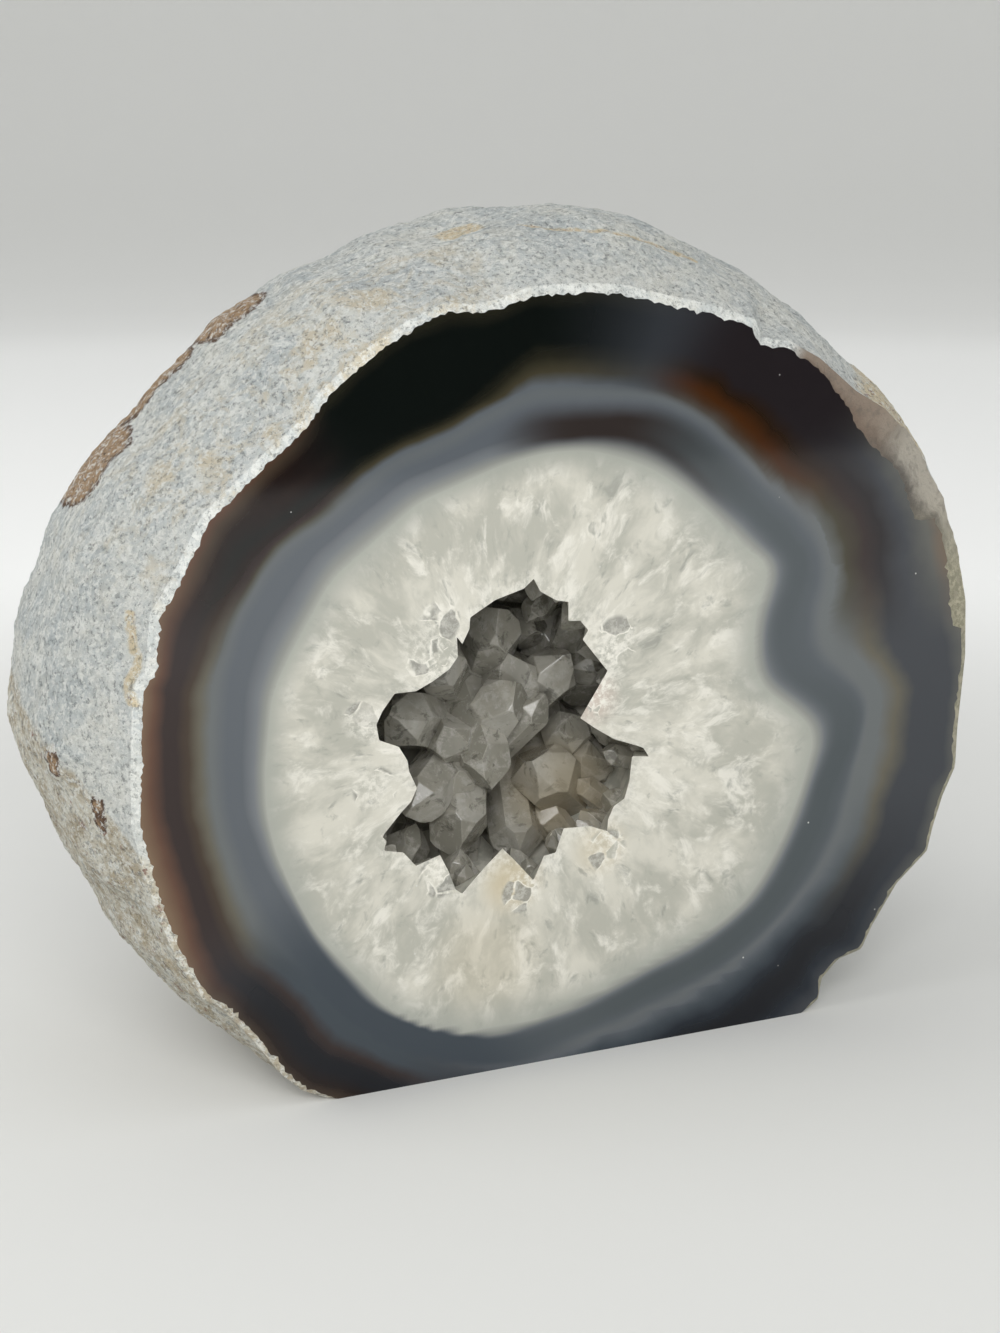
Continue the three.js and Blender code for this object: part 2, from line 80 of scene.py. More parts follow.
# Jagged mouth of the hollow, from the right, over the top
MOUTH = [
    (-0.4, 41.3), (3, 46.5), (-0.2, 50.5), (0.5, 51.5), (-0.5, 52.7), (-2, 52.8), (-2, 55), (-3.5, 55.3),
    (-5.5, 56.5), (-6.3, 58), (-7.5, 57), (-11, 56), (-14, 54.3), (-14.1, 53), (-15.6, 52.3), (-15, 51.3),
    (-15.5, 50), (-16.5, 48.7), (-18.5, 47.5), (-20.5, 46.6), (-23, 46.6), (-24.5, 44.7), (-25.2, 43.3),
    (-24.9, 41.5), (-22.6, 40.5), (-21.6, 38.8), (-21.4, 37.5), (-20.5, 35.5), (-21.2, 34), (-22.3, 33),
    (-24.7, 30.4), (-24.2, 29.8), (-24.5, 28.7), (-22.2, 28.2), (-20.7, 26.4), (-17.8, 27.3),
    (-16.8, 25.3), (-15.9, 22.9), (-15.1, 22.3), (-12.5, 24.9), (-10.1, 27), (-8.5, 25.3), (-6.2, 22.6),
    (-4.9, 25.4), (-3.4, 25.6), (-2.4, 28.4), (1, 28.2), (3.2, 27.3), (3.3, 28.7), (4, 30.2), (5.4, 31),
    (6, 33), (6.3, 36), (8.5, 35.7), (7.7, 36.9), (4, 38.3), (1.5, 39.9),
]

# Bands of the agate: outer edge of the white quartz, dark line and outer edge of the pale band
QUARTZ_EDGE = [
    (31, 36), (29, 38.5), (25.5, 40.5), (23, 43), (22.3, 46), (22.2, 50), (22.8, 53), (24.5, 56.5),
    (22, 58.5), (18, 62), (15, 64.5), (12, 67), (8, 69.5), (4, 71), (0, 72), (-5, 72), (-10, 71),
    (-20, 67.5), (-30, 60), (-35, 52), (-37, 48), (-38, 40), (-38, 35), (-37, 30), (-35, 25),
    (-32.5, 20), (-28.5, 15), (-24.5, 10), (-20, 7), (-14, 5), (-10, 4.7), (0, 6.5), (5, 8.5),
    (10, 10.3), (15, 12), (20, 14.5), (23, 17), (25, 20), (27, 23.5), (28.5, 27), (29.5, 30), (30.3, 33),
]
SLATE_LINE = [
    (36.5, 39), (35, 40.5), (30, 42), (27, 45), (26.3, 49), (27.5, 53), (29.5, 57), (25, 61.5), (20, 66),
    (15, 70.5), (10, 74), (5, 75), (-5, 74.3), (-12, 73.5), (-22, 70.5), (-32.5, 63), (-38, 54.5),
    (-40, 49), (-40.7, 41), (-40.5, 35), (-38, 28), (-34, 20), (-31, 15), (-27, 10), (-22, 7.3),
    (-17, 5), (-10, 3), (0, 4.5), (5, 5.5), (10, 7), (15, 8.3), (20, 10.5), (26, 15), (29.5, 20),
    (32, 25), (33.5, 30), (35, 32), (36, 36),
]
PALE_EDGE = [
    (39, 39), (38, 42), (33, 45), (31, 50), (33, 56), (30, 61.5), (25, 66), (20, 71.3), (15, 75.5),
    (10, 78), (3, 79.3), (-5, 79.3), (-14, 77.8), (-25, 73.5), (-36, 65.5), (-41.5, 57), (-43.6, 50),
    (-44.2, 41), (-43.3, 33), (-41, 25), (-38.5, 20), (-34, 15), (-30, 10), (-24, 5), (-16, 1.5),
    (-8, 0), (2, 1.5), (10, 4), (15, 5.5), (20, 7.5), (25, 10.5), (30, 15), (34, 20), (36, 25),
    (37, 30), (38, 34),
]

# Bowl of the hollow behind the mouth: its radius every 45 degrees, and its section by depth
BOWL_RADIUS = [20, 19, 19, 18.5, 19, 21, 21.5, 21]
BOWL_DEPTH = 28.0
BOWL_WIDEST = 8.0
# Share of the way from the mouth's outline to the bowl's, by depth
FLARE = [(0, 0), (0.6, 0.12), (2.2, 0.34), (5, 0.7), (BOWL_WIDEST, 1)]

# Large crystals of the hollow: tip as (x, depth, z), the way from the tip down to the root, and radius
LARGE_CRYSTALS = [
    ((-4.9, 10, 47.2), (3, 7, -9), 4.2), ((-5.2, 7, 44.8), (-2, 7, -9), 3.6),
    ((-0.9, 8, 42.4), (-5, 6, -8), 2.8), ((-7.9, 7, 31.6), (-1, 7, 9), 3.7),
    ((-14.1, 8, 40), (6, 8, -8), 3.0), ((-20.6, 8, 41.9), (9, 8, -4), 3.4),
    ((-19.2, 7, 29.6), (9, 7, 5), 3.2), ((-12.8, 7.5, 23.4), (3, 7, 9), 3.8),
    ((-2.8, 8, 34.6), (9, 8, -8), 4.2), ((2.9, 9, 46.6), (-4, 8, -8), 3.6),
    ((-6.4, 9, 53.1), (1, 8, -9), 3.6), ((8.8, 9, 31.8), (-8, 8, 1), 3.2),
    ((-4.3, 8, 21.6), (2, 8, 8), 3.4), ((1.1, 9, 37.4), (6, 8, -4), 3.0),
    ((-14.5, 9, 48.5), (5, 9, -8), 3.4), ((-12.0, 8, 34.5), (2, 9, -6), 2.6),
]
# Smaller crystals in rings on the wall as (depth, count, radius, reach), and on the floor
WALL_RINGS = [
    (3.6, 22, 1.4, 3), (6, 20, 1.8, 4.2), (9.5, 18, 2.2, 5.4), (13, 18, 2.4, 6.2), (17, 16, 2.6, 6.8),
    (21, 12, 2.6, 7),
]
FLOOR_CRYSTALS = {"count": 34, "spread": 16, "radius": 2.6, "reach": 11}
# How far the smaller crystals stand out of line to either side, with their turn in radians
UNEVEN = {"spacing": 0.3, "depth": 1.0, "turn": 0.5, "aim": 3.0, "lean": 0.6}
# Smallest and largest share of the usual reach on the wall, and of any other size
WALL_REACHES = (0.75, 1.3)
SIZES = (0.7, 1.3)
# How near to the axis the wall's crystals aim, and how strongly the floor's ones aim at the face
AIM_RADIUS = 2.0
FORWARDS = 1.6
GOLDEN_ANGLE = math.radians(137.5)
CRYSTAL_SEED = 11
SHALLOWEST_TIP = 1.6
# How far roots are buried in the wall, their drop along it, and their height above the bowl's back
ROOT_BURIED = 0.8
ROOT_DROP = 0.6
ROOT_ABOVE_BACK = 1.5
ROOT_STEP = 0.5
DEEPEST_ROOT = 24.0
# A crystal's tip faces: their slope, how far out every other one is, their spread, and how blunt the tip is
TIP_SLOPE = 38.2
TIP_UNEVEN = 0.16
TIP_SPREAD = 0.12
TIP_BLUNT = 0.1
# Least share of the radius at which a side stands, the width of the bevelled edges, and what counts as one
# point
NEAREST_SIDE = 0.78
CRYSTAL_EDGE = 0.07
ONE_POINT = 0.01
# Painted shading of the crystals' faces, a random tone each up to the highest, and painted highlights on
# their bevelled edges
BRIGHTEST_FACE_SHADE = 0.8
EDGE_HIGHLIGHT_TONE = 1.0

# Raised scabs, pits and knobs of the rind: middle and half sizes as degrees around and depth, then height
RIND_MARKS = [
    (134, 27, 17, 8, 0.7), (31, 8, 7, 6, 0.8), (90, 17, 7, 5, -0.9), (181, 10, 2.6, 2.2, 0.7),
    (203, 12, 4, 11, -1.0), (60, 40, 16, 7, 1.0), (165, 44, 18, 6, -1.2), (340, 30, 12, 9, 1.0),
]
# Stains of the rind in the same way, with a strength from 0 to 1
STAINS = {
    "brown": [
        (144, 28.5, 7, 10.5, 1.0), (131, 33, 8.5, 9.5, 0.9), (118, 28.5, 6, 8.5, 0.8),
        (181, 10, 2, 1.7, 0.62), (187, 5, 3.5, 1.4, 0.58), (104, 43, 9, 7, 0.8), (20, 40, 12, 8, 0.7),
        (325, 24, 10, 8, 0.6),
    ],
    "ochre": [
        (89.6, 15.5, 3.2, 3.4, 0.9), (31.5, 5, 7.5, 7.5, 0.95), (101, 10.8, 3, 2, 0.45),
        (108, 14.5, 4, 2, 0.45), (213, 3, 8, 2.5, 0.5), (60, 40, 16, 7, 0.6), (280, 44, 15, 6, 0.5),
    ],
}
# Thin ochre lines of the rind: their course as (angle, depth), half width and depth of the groove
STREAKS = [
    ([(62, 7.9), (73, 7.9), (80, 9.9), (86, 12.5), (91, 20)], 0.5, 0.35),
    ([(158.5, 3.3), (161.5, 2.5), (164.5, 1.6), (168.0, 1.15), (170.5, 0.75)], 0.75, 0.2),
]
# Beige side at the lower left: the angle where it starts at some depths, and where it ends
BEIGE_START = [(0, 190), (4, 183), (10, 176), (23, 171), (56, 164)]
BEIGE_END = 262
BEIGE_SOFT = 6
LUMP_HEIGHT = 0.55
DENT_HEIGHT = 0.3
RELIEF_START = 1.5
RELIEF_FULL = 7.0
# Grain of the rind as (size, height), and how far the surface is sunk so that it stays inside the solid
GRAIN = [(1.0, 0.16), (2.3, 0.1), (6.5, 0.2)]
GRAIN_SINK = 0.36
GRAIN_START = 0.3
GRAIN_FULL = 2.5
CRUMBLE = {"size": 0.9, "depth": 0.55, "seed": 4.0}
# Fractal noise: how smooth it is, how much finer each of its octaves is, and how many it has
NOISE_SMOOTHNESS = 0.8
NOISE_STEP = 2.1
NOISE_OCTAVES = 3

# Mesh of the stone: columns around the axis, rows of the rind, and the span over which bands are averaged
COLUMNS = 640
RIND_ROWS = 111
BAND_SPAN = 7
SPAN_SAMPLES = 9
# Finishes of the stone's faces
POLISHED, RIM, RIND, SAWN, LINING = range(5)
# Limits that keep sums sound, in millimetres apart from the least share of a direction that points down
LEAST_DOWN = 0.05
FAR_AWAY = 1000.0
ON_BASE = 1e-6
BEHIND_FACE = 0.01
SHORT_OF_BACK = 0.5
NARROWEST_BAND = 0.2
NARROWEST_RIM = 0.3
NARROWEST_STONE = 1.0


def smoothstep(value, low, high):
    t = np.clip((np.asarray(value, float) - low) / (high - low), 0, 1)
    return t * t * (3 - 2 * t)


def polar(points):
    """Angles and radii of a closed outline around the nodule's axis, in order of angle."""
    p = np.array(points, float) - (AXIS_X, AXIS_Z)
    angle = np.arctan2(p[:, 1], p[:, 0]) % math.tau
    order = np.argsort(angle)
    return angle[order], np.hypot(p[:, 0], p[:, 1])[order]


def corner_radius(points, angle):
    """Radius of a closed outline at each angle, straight between its corners."""
    corner, radius = polar(points)
    turned = np.asarray(angle, float) % math.tau
    after = np.searchsorted(corner, turned, side="right") % len(corner)
    before = (after - 1) % len(corner)
    ax, az = radius[before] * np.cos(corner[before]), radius[before] * np.sin(corner[before])
    bx, bz = radius[after] * np.cos(corner[after]), radius[after] * np.sin(corner[after])
    cross = ax * bz - az * bx
    return cross / (np.cos(turned) * (bz - az) - np.sin(turned) * (bx - ax))


def smooth_radius(points, angle, span):
    """Radius of a closed outline at each angle, averaged over a span in degrees."""
    aside = np.radians(span) * ((np.arange(SPAN_SAMPLES) + 0.5) / SPAN_SAMPLES - 0.5)
    return np.mean([corner_radius(points, angle + a) for a in aside], axis=0)


def smooth_around(values, angle):
    """Smooth closed curve through values that are evenly spaced around the axis."""
    v = np.array(values, float)
    place = (np.asarray(angle, float) % math.tau) / math.tau * len(v)
    index = np.floor(place).astype(int)
    t = place - index
    p0, p1, p2, p3 = (v[(index + k) % len(v)] for k in (-1, 0, 1, 2))
    square = 2 * p0 - 5 * p1 + 4 * p2 - p3
    cube = 3 * p1 - p0 - 3 * p2 + p3
    return 0.5 * (2 * p1 + (p2 - p0) * t + square * t * t + cube * t ** 3)


def place(angle, radius, depth):
    """Points at angles, radii and depths behind the polished face."""
    angle, radius, depth = np.broadcast_arrays(angle, radius, depth)
    x = AXIS_X + radius * np.cos(angle)
    z = AXIS_Z + radius * np.sin(angle)
    return np.stack([x, FACE_Y + depth, z], axis=-1)


def nodule_section(angle, depth):
    widest = smooth_around(WIDEST, angle)
    away = np.abs(depth - widest) / (DEPTH - widest)
    return np.clip(1 - away ** FULLNESS, 0, None) ** (1 / FULLNESS)


def smooth_rind_radius(angle, depth):
    evened = smoothstep(depth, 0, EVEN_DEPTH)
    exact = corner_radius(OUTLINE, angle)
    edge = exact + (smooth_radius(OUTLINE, angle, EVEN_SPAN) - exact) * evened
    return edge * nodule_section(angle, depth) / nodule_section(angle, 0)


def mark_strength(angle, depth, middle, mark_depth, half_angle, half_depth):
    """How far a point is inside a mark of the rind, from 0 to 1."""
    around = ((np.degrees(angle) - middle + 540) % 360 - 180) / half_angle
    along = (depth - mark_depth) / half_depth
    return np.exp(-(around ** 4 + along ** 4))


def streak_strength(angle, depth, course, half_width):
    """How near a point is to a thin line of the rind, from 0 to 1."""
    degrees = np.degrees(angle)
    angles, depths = zip(*course)
    away = (depth - np.interp(degrees, angles, depths)) / half_width
    inside = (degrees > angles[0]) & (degrees < angles[-1])
    return np.where(inside, np.exp(-away ** 2), 0)


def beige_strength(angle, depth):
    """How far a point is on the streaky beige side at the lower left, from 0 to 1."""
    degrees = np.degrees(angle)
    start = np.interp(depth, *zip(*BEIGE_START))
    on = smoothstep(degrees, start, start + BEIGE_SOFT)
    return on * (1 - smoothstep(degrees, BEIGE_END - BEIGE_SOFT, BEIGE_END))


def rind_relief(angle, depth, points):
    x, y, z = points[..., 0], points[..., 1], points[..., 2]
    lumps = np.sin(0.19 * x + 1.3) * np.sin(0.16 * z + 0.4) + np.sin(0.14 * y + 0.11 * x + 2)
    dents = np.sin(0.47 * x + 0.2 * y + 0.5) * np.sin(0.43 * z - 0.25 * y + 1.1)
    height = 0.5 * LUMP_HEIGHT * lumps + DENT_HEIGHT * dents
    for *mark, raised in RIND_MARKS:
        height = height + raised * mark_strength(angle, depth, *mark)
    for *streak, groove in STREAKS:
        height = height - groove * streak_strength(angle, depth, *streak)
    return height * smoothstep(depth, RELIEF_START, RELIEF_FULL)


def base_radius(angle):
    """Distance from the axis to the sawn base along each angle, or very far where it is never met."""
    down = -np.sin(angle)
    return np.where(down > LEAST_DOWN, AXIS_Z / np.maximum(down, LEAST_DOWN), FAR_AWAY)


def noise_at(points, size, seed):
    """Fractal noise of about -1 to 1 at each point, with features of about a size in millimetres."""
    flat = points.reshape(-1, 3) / size + seed
    values = [noise.fractal(Vector(p), NOISE_SMOOTHNESS, NOISE_STEP, NOISE_OCTAVES) for p in flat]
    return np.array(values).reshape(points.shape[:-1])


def flare_at(depth):
    depths, shares = zip(*FLARE)
    return np.interp(depth, depths, shares)


def bowl_radius(angle, depth):
    away = np.clip(np.asarray(depth, float) - BOWL_WIDEST, 0, None) / (BOWL_DEPTH - BOWL_WIDEST)
    return smooth_around(BOWL_RADIUS, angle) * np.sqrt(1 - away ** 2)


def hollow_radius(angle, depth):
    mouth = corner_radius(MOUTH, angle)
    return mouth + (bowl_radius(angle, depth) - mouth) * flare_at(depth)


def band_edges(angle):
    """Radii of the agate's band edges at each angle: mouth, quartz, slate line, pale band and rim."""
    bands = [smooth_radius(band, angle, BAND_SPAN) for band in (QUARTZ_EDGE, SLATE_LINE, PALE_EDGE)]
    return [corner_radius(MOUTH, angle), *bands, corner_radius(OUTLINE, angle)]


def agate_layer(angle, radius):
    """The layer of the stone at points of the face: 0 at the mouth, 1 at the quartz's edge, 4 at the rim."""
    edges = band_edges(angle)
    layer = np.zeros(np.broadcast(angle, radius).shape)
    for inner, outer in zip(edges, edges[1:]):
        layer += np.clip((radius - inner) / np.maximum(outer - inner, NARROWEST_BAND), 0, 1)
    return layer


def bare_share(angle):
    """How far the rim is bare agate at each angle, from 0 to 1."""
    degrees = (np.degrees(angle) + 180) % 360 - 180
    soft = BARE_RIM["soft"]
    on = smoothstep(degrees, BARE_RIM["start"], BARE_RIM["start"] + soft)
    return on * (1 - smoothstep(degrees, BARE_RIM["end"] - soft, BARE_RIM["end"]))


def polished_edge_radius(angle):
    """Radius of the edge of the polish, inside the rim by its wear, its crumbling and its chips."""
    rim = corner_radius(OUTLINE, angle) - np.interp(np.degrees(angle), *zip(*RIM_WIDTH))
    crumble = CRUMBLE["depth"] * noise_at(place(angle, rim, 0.0), CRUMBLE["size"], CRUMBLE["seed"])
    corner, radius = polar(CHIPPED_EDGE)
    chipped = (angle > corner[0]) & (angle < corner[-1])
    edge = np.where(chipped, np.minimum(rim, np.interp(angle, corner, radius)), rim)
    return edge - np.abs(crumble)


# Rows of the stone's mesh, from the back of the hollow through its mouth, over the face and round the rind
HOLLOW_DEPTHS = [27.4, 26, 24, 21.5, 18.5, 15.5, 12.5, 10, 8, 6.5, 5, 3.6, 2.2, 1.2, 0.5]
FACE_LAYERS = [
    0, 0.1, 0.2, 0.35, 0.5, 0.65, 0.8, 0.9, 1, 1.25, 1.5, 1.75, 2, 2.33, 2.67, 3, 3.15, 3.3, 3.5, 3.7, 3.85,
]
CHIP_ROWS = [0.25, 0.5, 0.75]
ROOM_INSIDE_EDGE = 0.98


def face_rows(angle):
    """Radii of the face's rows, which follow the agate's bands and stop at the edge of the polish."""
    edges = band_edges(angle)
    rows = []
    for layer in FACE_LAYERS:
        band = int(layer)
        rows.append(edges[band] + (edges[band + 1] - edges[band]) * (layer - band))
    limit = np.minimum(polished_edge_radius(angle), base_radius(angle))
    room = ROOM_INSIDE_EDGE * (limit - edges[0])
    shrink = np.minimum(1, room / (rows[-1] - edges[0]))
    return [edges[0] + (row - edges[0]) * shrink for row in rows] + [limit]


def rind_rows(angle):
    """Points of the rind's rows from its rim to its back, with lumps, scabs, pits and grain."""
    rim = np.interp(np.degrees(angle), *zip(*CHIP_DEPTH), right=RIM_WEAR_DEPTH)
    steps = np.sin(np.linspace(0, math.pi / 2, RIND_ROWS + 1)[:-1])[:, None]
    depth = rim + (DEPTH - rim) * steps
    around = np.broadcast_to(angle, depth.shape)
    radius = smooth_rind_radius(around, depth)
    smooth = place(around, radius, depth)
    radius = radius + np.minimum(1, (DEPTH - depth) / RELIEF_FULL) * rind_relief(around, depth, smooth)
    points = place(around, radius, depth)
    along = np.gradient(points, axis=0)
    across = np.roll(points, -1, axis=1) - np.roll(points, 1, axis=1)
    normal = np.cross(along, across)
    normal /= np.linalg.norm(normal, axis=-1, keepdims=True)
    fade = smoothstep(depth, GRAIN_START, GRAIN_FULL)
    grain = sum(height * noise_at(points, size, size) for size, height in GRAIN)
    return points + normal * (fade * (grain - GRAIN_SINK))[..., None]


def saw_base(points, angle):
    """Points with those under the sawn base moved up to it, towards the axis, and which ones these are."""
    limit = np.broadcast_to(base_radius(angle), points.shape[:-1])
    under = points[..., 2] < ON_BASE
    sawn = points.copy()
    sawn[..., 0] = np.where(under, AXIS_X + limit * np.cos(angle), points[..., 0])
    sawn[..., 2] = np.where(under, 0.0, points[..., 2])
    return sawn, under


def add_object(name, data):
    added = bpy.data.objects.new(name, data)
    bpy.context.scene.collection.objects.link(added)
    return added


def new_object(name, points, faces, materials, indices=None, smooth=True):
    """A mesh object from points in millimetres."""
    mesh = bpy.data.meshes.new(name)
    mesh.from_pydata([tuple(p) for p in np.asarray(points) * MM], [], faces)
    for material in materials:
        mesh.materials.append(material)
    if indices is not None:
        mesh.polygons.foreach_set("material_index", indices)
    mesh.polygons.foreach_set("use_smooth", [smooth] * len(mesh.polygons))
    mesh.update()
    return add_object(name, mesh)


def set_attribute(piece, name, values, domain="POINT"):
    attribute = piece.data.attributes.new(name, "FLOAT", domain)
    attribute.data.foreach_set("value", np.asarray(values, dtype=np.float32).ravel())


def sharpen_between_materials(piece):
    """Keeps the shading crisp where two finishes meet."""
    mesh = piece.data
    owner = {}
    for polygon in mesh.polygons:
        for key in polygon.edge_keys:
            owner.setdefault(key, set()).add(polygon.material_index)
    sharp = [len(owner[tuple(sorted(edge.vertices))]) > 1 for edge in mesh.edges]
    attribute = mesh.attributes.new("sharp_edge", "BOOLEAN", "EDGE")
    attribute.data.foreach_set("value", sharp)


def build_stone(polished, rim, rind, sawn, lining):
    """The stone as rows of points around the axis, with a finish for each strip between two rows."""
    angle = np.arange(COLUMNS) * math.tau / COLUMNS
    rows = [place(angle, hollow_radius(angle, depth), depth) for depth in HOLLOW_DEPTHS]
    finish = [LINING] * len(rows)
    face = face_rows(angle)
    rows += [place(angle, radius, 0.0) for radius in face]
    finish += [POLISHED] * (len(face) - 1)
    rind_points, under = saw_base(rind_rows(angle), angle)
    edge = rows[-1]
    for share in CHIP_ROWS:
        rows.append(edge + (rind_points[0] - edge) * share)
    finish += [RIM] * (len(CHIP_ROWS) + 1)
    first_rind_row = len(rows)
    rows += list(rind_points)
    finish += [RIND] * (len(rind_points) - 1)

    points = np.concatenate([np.concatenate(rows), place(0.0, 0.0, [BOWL_DEPTH, DEPTH])])
    faces, indices = [], []
    back_of_hollow, back = len(points) - 2, len(points) - 1
    for i in range(COLUMNS):
        j = (i + 1) % COLUMNS
        faces.append((back_of_hollow, i, j))
        indices.append(LINING)
        for k, index in enumerate(finish):
            near, far = k * COLUMNS, (k + 1) * COLUMNS
            faces.append((near + i, far + i, far + j, near + j))
            row = k - first_rind_row
            below = row >= 0 and under[row:row + 2, [i, j]].all()
            below = below or (index == RIM and all(points[v][2] < ON_BASE for v in faces[-1]))
            indices.append(SAWN if below else index)
        last = len(rows) * COLUMNS - COLUMNS
        faces.append((last + i, back, last + j))
        indices.append(RIND)
    piece = new_object("geode_stone", points, faces, [polished, rim, rind, sawn, lining], indices)
    sharpen_between_materials(piece)
    add_stone_attributes(piece, points, angle)
    return piece


def add_stone_attributes(piece, points, angle):
    """Values that the finishes read: the agate's layer and the stains of the rind."""
    flat_x, flat_z = points[:, 0] - AXIS_X, points[:, 2] - AXIS_Z
    around = np.arctan2(flat_z, flat_x) % math.tau
    radius = np.hypot(flat_x, flat_z)
    depth = np.clip(points[:, 1] - FACE_Y, 0, DEPTH - SHORT_OF_BACK)
    rim = corner_radius(OUTLINE, around)
    on_face = radius * rim / np.maximum(smooth_rind_radius(around, depth), NARROWEST_STONE)
    set_attribute(piece, "layer", agate_layer(around, np.where(depth > BEHIND_FACE, on_face, radius)))
    for name, marks in STAINS.items():
        stains = [strength * mark_strength(around, depth, *mark) for *mark, strength in marks]
        if name == "ochre":
            stains += [streak_strength(around, depth, *streak) for *streak, _groove in STREAKS]
        set_attribute(piece, name, np.max(stains, axis=0))
    set_attribute(piece, "beige", beige_strength(around, depth))
    set_attribute(piece, "bare", bare_share(around))
    polish = polished_edge_radius(angle)[np.arange(len(points)) % COLUMNS]
    outwards = (radius - polish) / np.maximum(rim - polish, NARROWEST_RIM)
    set_attribute(piece, "outwards", np.clip(outwards, 0, 1))


def cut_away(block, middle, normal):
    """Cuts off what is outside a plane and closes the cut."""
    everything = [*block.verts, *block.edges, *block.faces]
    bmesh.ops.bisect_plane(block, geom=everything, plane_co=middle, plane_no=normal, clear_outer=True)
    bmesh.ops.holes_fill(block, edges=[edge for edge in block.edges if edge.is_boundary])


def quartz_point(root, tip, radius, chance):
    """A six-sided crystal cut from a block and bevelled at its edges, with a random painted shade for each of
    its faces and a painted highlight on each edge.
    """
    along = tip - root
    length = along.length
    block = bmesh.new()
    bmesh.ops.create_cube(block, size=1.0)
    size = Matrix.Diagonal((4 * radius, 4 * radius, 2 * length, 1))
    bmesh.ops.transform(block, matrix=size, verts=block.verts)
    slope = math.radians(TIP_SLOPE)
    turn = chance.uniform(0, math.tau)
    for k in range(6):
        aside = Vector((math.cos(turn + k * math.tau / 6), math.sin(turn + k * math.tau / 6), 0))
        out = TIP_UNEVEN * radius * (k % 2) + chance.uniform(0, TIP_SPREAD) * radius
        leaning = aside * math.cos(slope) + Vector((0, 0, math.sin(slope)))
        cut_away(block, aside * radius * chance.uniform(NEAREST_SIDE, 1), aside)
        cut_away(block, Vector((0, 0, length)) + leaning * (out - TIP_BLUNT * radius), leaning)
    cut_away(block, (0, 0, 0), (0, 0, -1))
    bmesh.ops.remove_doubles(block, verts=block.verts, dist=ONE_POINT)
    bmesh.ops.bevel(
        block, geom=list(block.edges), offset=CRYSTAL_EDGE, segments=1, affect="EDGES", clamp_overlap=True,
        material=1)
    upright = along.to_track_quat("Z", "Y").to_matrix().to_4x4()
    bmesh.ops.transform(block, matrix=upright, verts=block.verts)
    bmesh.ops.translate(block, vec=root, verts=block.verts)
    points = [tuple(vertex.co) for vertex in block.verts]
    faces = [tuple(vertex.index for vertex in face.verts) for face in block.faces]
    # Each face gets a random painted shade, and each bevelled edge a painted highlight
    tones = [EDGE_HIGHLIGHT_TONE if face.material_index else chance.uniform(0, BRIGHTEST_FACE_SHADE) for face in block.faces]
    block.free()
    return points, faces, tones


def root_on_wall(tip, down):
    """Where a crystal's axis, followed down from its tip, goes into the wall or floor of the hollow."""
    root = tip.copy()
    while True:
        root += down * ROOT_STEP
        x, depth, z = root.x - AXIS_X, root.y - FACE_Y, root.z - AXIS_Z
        if depth > DEEPEST_ROOT or math.hypot(x, z) > hollow_radius(math.atan2(z, x), depth):
            return root + down * ROOT_BURIED


def either_way(chance, amount):
    return chance.uniform(-amount, amount)


def crystal_places():
    """Root, tip and radius of every crystal: the large ones, then rings on the wall, then the floor."""
    chance = random.Random(CRYSTAL_SEED)
    spots = []
    for (x, depth, z), down, radius in LARGE_CRYSTALS:
        tip = Vector((x, FACE_Y + depth, z))
        spots.append((root_on_wall(tip, Vector(down).normalized()), tip, radius))
    for k, (depth, count, radius, reach) in enumerate(WALL_RINGS):
        for i in range(count):
            share = i + 0.5 * (k % 2) + either_way(chance, UNEVEN["spacing"])
            angle = share * math.tau / count % math.tau
            deep = depth + either_way(chance, UNEVEN["depth"])
            root = Vector(place(angle, hollow_radius(angle, deep) + ROOT_BURIED, deep + ROOT_DROP))
            turned = angle + either_way(chance, UNEVEN["turn"])
            aim = Vector(place(turned, AIM_RADIUS, deep + either_way(chance, UNEVEN["aim"])))
            tip = root + (aim - root).normalized() * reach * chance.uniform(*WALL_REACHES)
            spots.append((root, tip, radius * chance.uniform(*SIZES)))
    for i in range(FLOOR_CRYSTALS["count"]):
        out = FLOOR_CRYSTALS["spread"] * math.sqrt((i + 0.5) / FLOOR_CRYSTALS["count"])
        root = Vector(place(i * GOLDEN_ANGLE, out, BOWL_DEPTH - ROOT_ABOVE_BACK))
        lean_x = either_way(chance, UNEVEN["lean"])
        lean_z = either_way(chance, UNEVEN["lean"])
        up = Vector((lean_x, -FORWARDS, lean_z)).normalized()
        reach = FLOOR_CRYSTALS["reach"] * chance.uniform(*SIZES)
        spots.append((root, root + up * reach, FLOOR_CRYSTALS["radius"] * chance.uniform(*SIZES)))
    return [(root, tip, radius) for root, tip, radius in spots if tip.y > FACE_Y + SHALLOWEST_TIP]


def build_crystals(material):
    chance = random.Random(CRYSTAL_SEED + 1)
    points, faces, tones = [], [], []
    for root, tip, radius in crystal_places():
        more_points, more_faces, more_tones = quartz_point(root, tip, radius, chance)
        faces += [tuple(index + len(points) for index in face) for face in more_faces]
        points += more_points
        tones += more_tones
    piece = new_object("quartz_points", points, faces, [material], smooth=False)
    set_attribute(piece, "facet", tones, "FACE")
    return piece


